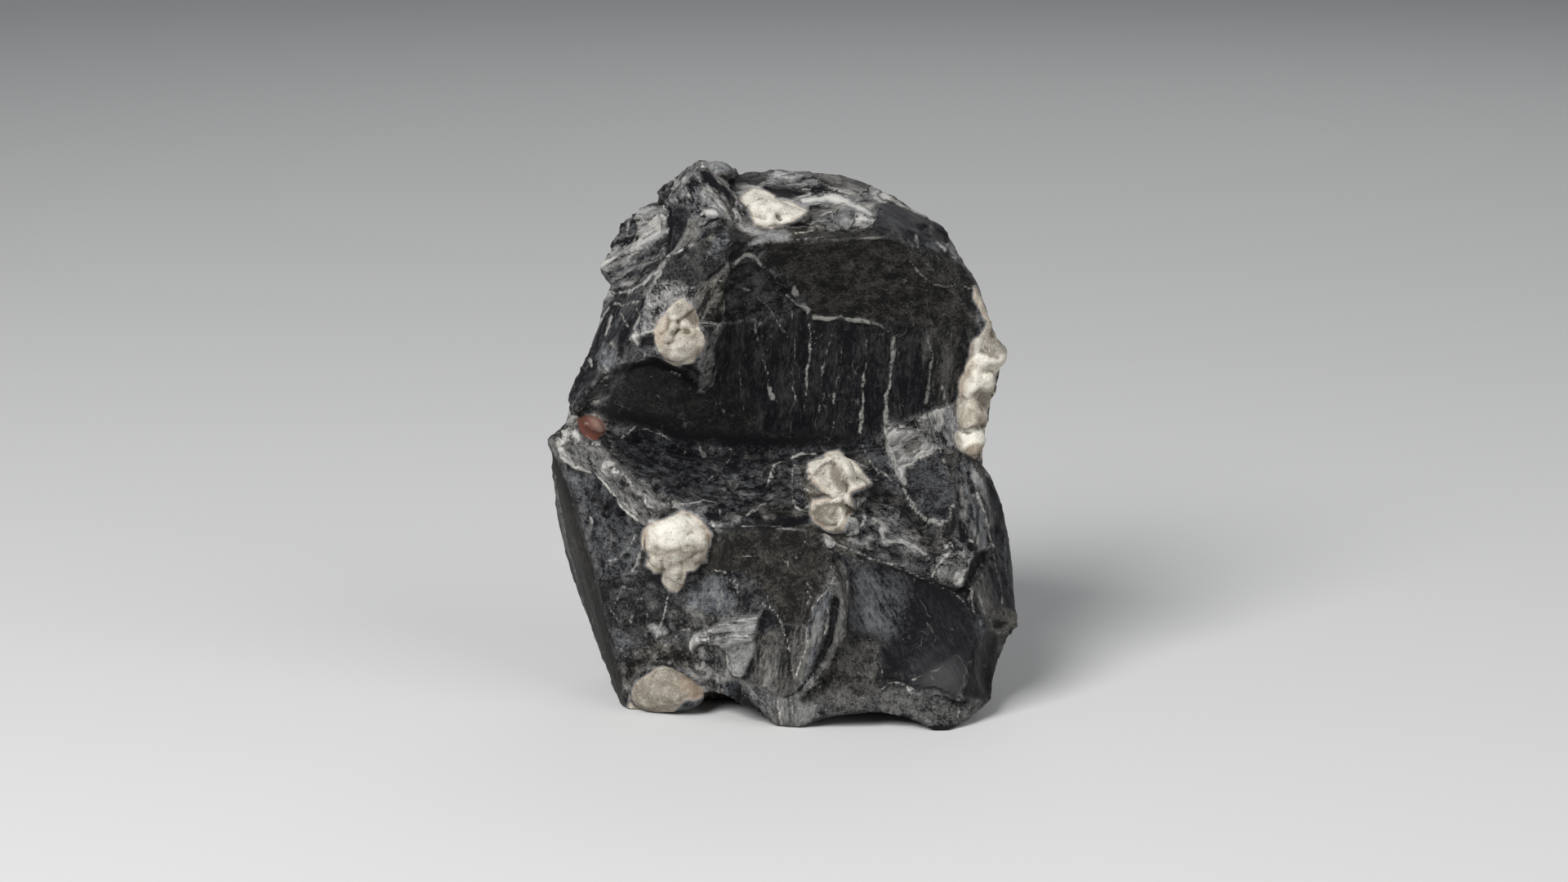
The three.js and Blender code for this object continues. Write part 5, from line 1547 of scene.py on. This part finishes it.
def volcanic_glass():
    """Satin black glass under pale dust, with chalky nodules, worn lines, cracks and one red bead."""
    f = Finish("black glass, dust and chalk")
    spot = f.add("VectorMath", {0: f.add("TexCoord", output="Object"), "Scale": 1 / MM}, operation="SCALE")
    grain = f.mark("grain", "Vector")
    bloom, tint, mottle = f.mark("bloom"), f.mark("tint"), f.mark("mottle")

    # How much pale dust covers the glass: broken up round the share that the marking gives
    blotches = f.noise(grain, 0.4, 6, 0.68) - 0.5
    crumbs = f.noise(spot, 1.5, 3, 0.7) - 0.5
    grit = f.noise(spot, 3.6, 2, 0.6) - 0.5
    scratches = f.noise(grain, 2.2, 4, 0.7) - 0.5
    partly = (bloom * (1.0 - bloom)) ** 0.5  # most where half of the glass is covered
    coarse = partly * (mottle * 3.6 + 0.6) * blotches * 1.5
    fine = partly * (mottle * 1.6 + 1.5) * (crumbs * 0.3 + grit * 0.5 + scratches)
    # Less dust in the creases, so they come out darker: painted shade.
    crease = f.mark("crease")
    dust = (bloom + coarse + fine - crease * 0.12).clamped()
    whiter = f.rise(0.5, 0.68, f.noise(grain, 0.33, 6, 0.72))
    whiter = whiter * f.rise(0.25, 1.0, mottle) * f.rise(0.0, 0.15, bloom)
    whiter = whiter.most(f.rise(0.55, 1.0, bloom + blotches * 0.7))
    specks = f.rise(0.66, 0.76, f.noise(spot, 1.3, 2, 0.5)) * (mottle * 0.5 + 0.15) * f.rise(0.02, 0.3, bloom)
    hairs = f.add("Math", {0: f.noise(grain, 0.42, 2, 0.5) - 0.5}, operation="ABSOLUTE")
    hairs = f.rise(0.012, 0.002, hairs) * f.rise(0.5, 0.62, f.noise(spot, 0.3)) * 0.12
    worn = f.mark("worn") * f.rise(0.4, 0.6, f.noise(spot, 0.35)) * f.rise(0.35, 0.65, f.noise(spot, 1.5, 2))

    # Where the lines, the cracks and the chalk lie, with frayed borders
    fray = (f.noise(spot, 1.6, 4, 0.7) - 0.5) * 0.55
    breaks = f.rise(0.3, 0.54, f.noise(spot, 1.1, 3, 0.75))
    line = f.rise(0.49, 0.64, f.mark("line") + fray * 0.8) * f.mark("line strength") * breaks
    line = line.most(worn * 0.32).most(specks).most(hairs)
    crack = f.rise(0.44, 0.56, f.mark("crack") + fray * 0.3) * f.mark("crack strength")
    chalk_mark = f.mark("chalk")
    chalk = f.rise(0.5, 0.66, chalk_mark + fray * 0.45)
    halo = f.rise(0.1, 0.6, chalk_mark + fray * 0.8) * (1.0 - chalk)

    # The colours of glass, dust and worn lines
    bluish = (tint * -1.0).clamped()
    brownish = tint.clamped()
    dust_colour = f.blend(bluish, GREY_DUST, BLUE_DUST)
    dust_colour = f.blend(brownish, dust_colour, BROWN_DUST)
    glass_colour = f.blend(brownish * 0.8, BLACK_GLASS, BROWN_GLASS)
    colour = f.blend(dust, glass_colour, dust_colour)
    colour = f.blend(whiter * 0.9, colour, WORN_LINE)
    colour = f.blend(halo * 0.55, colour, GREY_DUST)
    colour = f.blend(line, colour, WORN_LINE)

    # The colours of the chalk, with its pores and its reddish rim
    lumps = f.noise(spot, 0.55, 4, 0.6)
    pores = f.rise(0.36, 0.3, f.noise(spot, 3.1, 2, 0.6))
    # The chalk is painted paler on outward bends, a painted highlight, and darker in the creases, a painted
    # shade.
    cream = f.mark("cream") + (lumps - 0.5) * 1.5 + grit + f.mark("worn") * 0.3 - crease * 0.5
    chalk_colour = f.blend(f.rise(-0.3, 1.15, cream), BROWN_CHALK, CREAM_CHALK)
    chalk_colour = f.blend(brownish * 0.5, chalk_colour, RUSTY_CHALK)
    chalk_colour = f.blend(bluish * 0.6, chalk_colour, GREY_DUST)
    chalk_colour = f.blend(pores * 0.5, chalk_colour, BROWN_CHALK)
    rim = f.rise(1.0, 0.55, chalk_mark + fray * 0.6)
    chalk_colour = f.blend(rim * 0.42, chalk_colour, RUSTY_CHALK)
    colour = f.blend(chalk, colour, chalk_colour)

    # The red bead with its painted highlight, and the cracks, with the painted shadow lines among them, and
    # the bubbles over everything
    bead = f.rise(0.45, 0.6, f.mark("bead") + fray * 0.2)
    bead_colour = f.blend(f.rise(0.3, 0.7, lumps), RED_BEAD, DARK_BEAD)
    # Pink where the painted highlight of the bead lies.
    bead_colour = f.blend(f.rise(0.0, 0.9, bloom + crumbs * 0.15) * 0.8, bead_colour, BEAD_HIGHLIGHT_PINK)
    colour = f.blend(bead, colour, bead_colour)
    colour = f.blend(crack, colour, f.blend(chalk, BLACK_GLASS, DEEP_CHALK))
    colour = f.blend(f.rise(0.2, 0.9, f.mark("pit")) * 0.6, colour, BLACK_GLASS)
    f.feed(f.shader.inputs["Base Color"], colour)

    pale = dust.most(chalk).most(line)
    rough = GLASS_ROUGH + (DUST_ROUGH - GLASS_ROUGH) * (pale * 1.6 + crumbs * 0.5).clamped()
    f.feed(f.shader.inputs["Roughness"], rough + bead * (BEAD_ROUGH - DUST_ROUGH) * 0.6)
    f.shader.inputs["IOR"].default_value = GLASS_IOR
    f.shader.inputs["Specular IOR Level"].default_value = GLASS_SHINE

    height = scratches * (0.03 + 0.06 * mottle)
    height = height + dust * (0.05 * f.noise(spot, 3.3, 3, 0.7)) + line * 0.05 - crack * 0.15
    height = height + chalk * (0.1 * f.noise(spot, 1.8, 4, 0.65) - 0.06 * pores)
    bump = f.add("Bump", {"Strength": 1.0, "Distance": MM, "Height": height})
    f.feed(f.shader.inputs["Normal"], bump)
    return f.material


stone.data.materials.append(volcanic_glass())

# ---- Scene ---------------------------------------------------------------------------------------

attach(stone, "root")
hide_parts("obsidian")

FLOOR_HALF = 3.0  # metres
PAPER = (0.7, 0.7, 0.69, 1)
PAPER_ROUGH = 0.9
LIT_SPOT = Vector((0, 0, 0.045))  # metres, the middle of the stone
SOFT_LIGHTS = {  # place and size in metres, and power in watts
    "key": ((-0.5, -0.85, 0.8), 0.6, 18),
    "fill": ((0.8, -0.6, 0.6), 0.8, 3.5),
    "back": ((0.2, 0.9, 0.8), 0.7, 1.2),
}
STUDIO_AIR = (0.9, 0.93, 1, 1)
AIR_STRENGTH = 0.16

floor = bpy.data.objects.new("floor", bpy.data.meshes.new("floor"))
corners = [(x * FLOOR_HALF, y * FLOOR_HALF, 0) for x, y in ((-1, -1), (1, -1), (1, 1), (-1, 1))]
floor.data.from_pydata(corners, [], [(0, 1, 2, 3)])
bpy.context.scene.collection.objects.link(floor)
paper = Finish("pale paper")
paper.shader.inputs["Base Color"].default_value = PAPER
paper.shader.inputs["Roughness"].default_value = PAPER_ROUGH
floor.data.materials.append(paper.material)

for name, (place, size, power) in SOFT_LIGHTS.items():
    lamp = bpy.data.lights.new(name, "AREA")
    lamp.size = size
    lamp.energy = power
    holder = bpy.data.objects.new(name, lamp)
    bpy.context.scene.collection.objects.link(holder)
    holder.location = place
    holder.rotation_euler = (LIT_SPOT - holder.location).to_track_quat("-Z", "Y").to_euler()

world = bpy.data.worlds.new("studio")
world.use_nodes = True
world.node_tree.nodes["Background"].inputs["Color"].default_value = STUDIO_AIR
world.node_tree.nodes["Background"].inputs["Strength"].default_value = AIR_STRENGTH
bpy.context.scene.world = world
bpy.context.scene.view_settings.view_transform = "Standard"

lens = bpy.data.cameras.new("camera")
lens.lens = LENS
lens.sensor_width = SENSOR
camera = bpy.data.objects.new("camera", lens)
bpy.context.scene.collection.objects.link(camera)
camera.location = (AIM - CAMERA_AWAY * SIGHT - ORIGIN) * MM
camera.rotation_euler = (math.pi / 2 - CAMERA_TILT, 0, 0)
bpy.context.scene.camera = camera
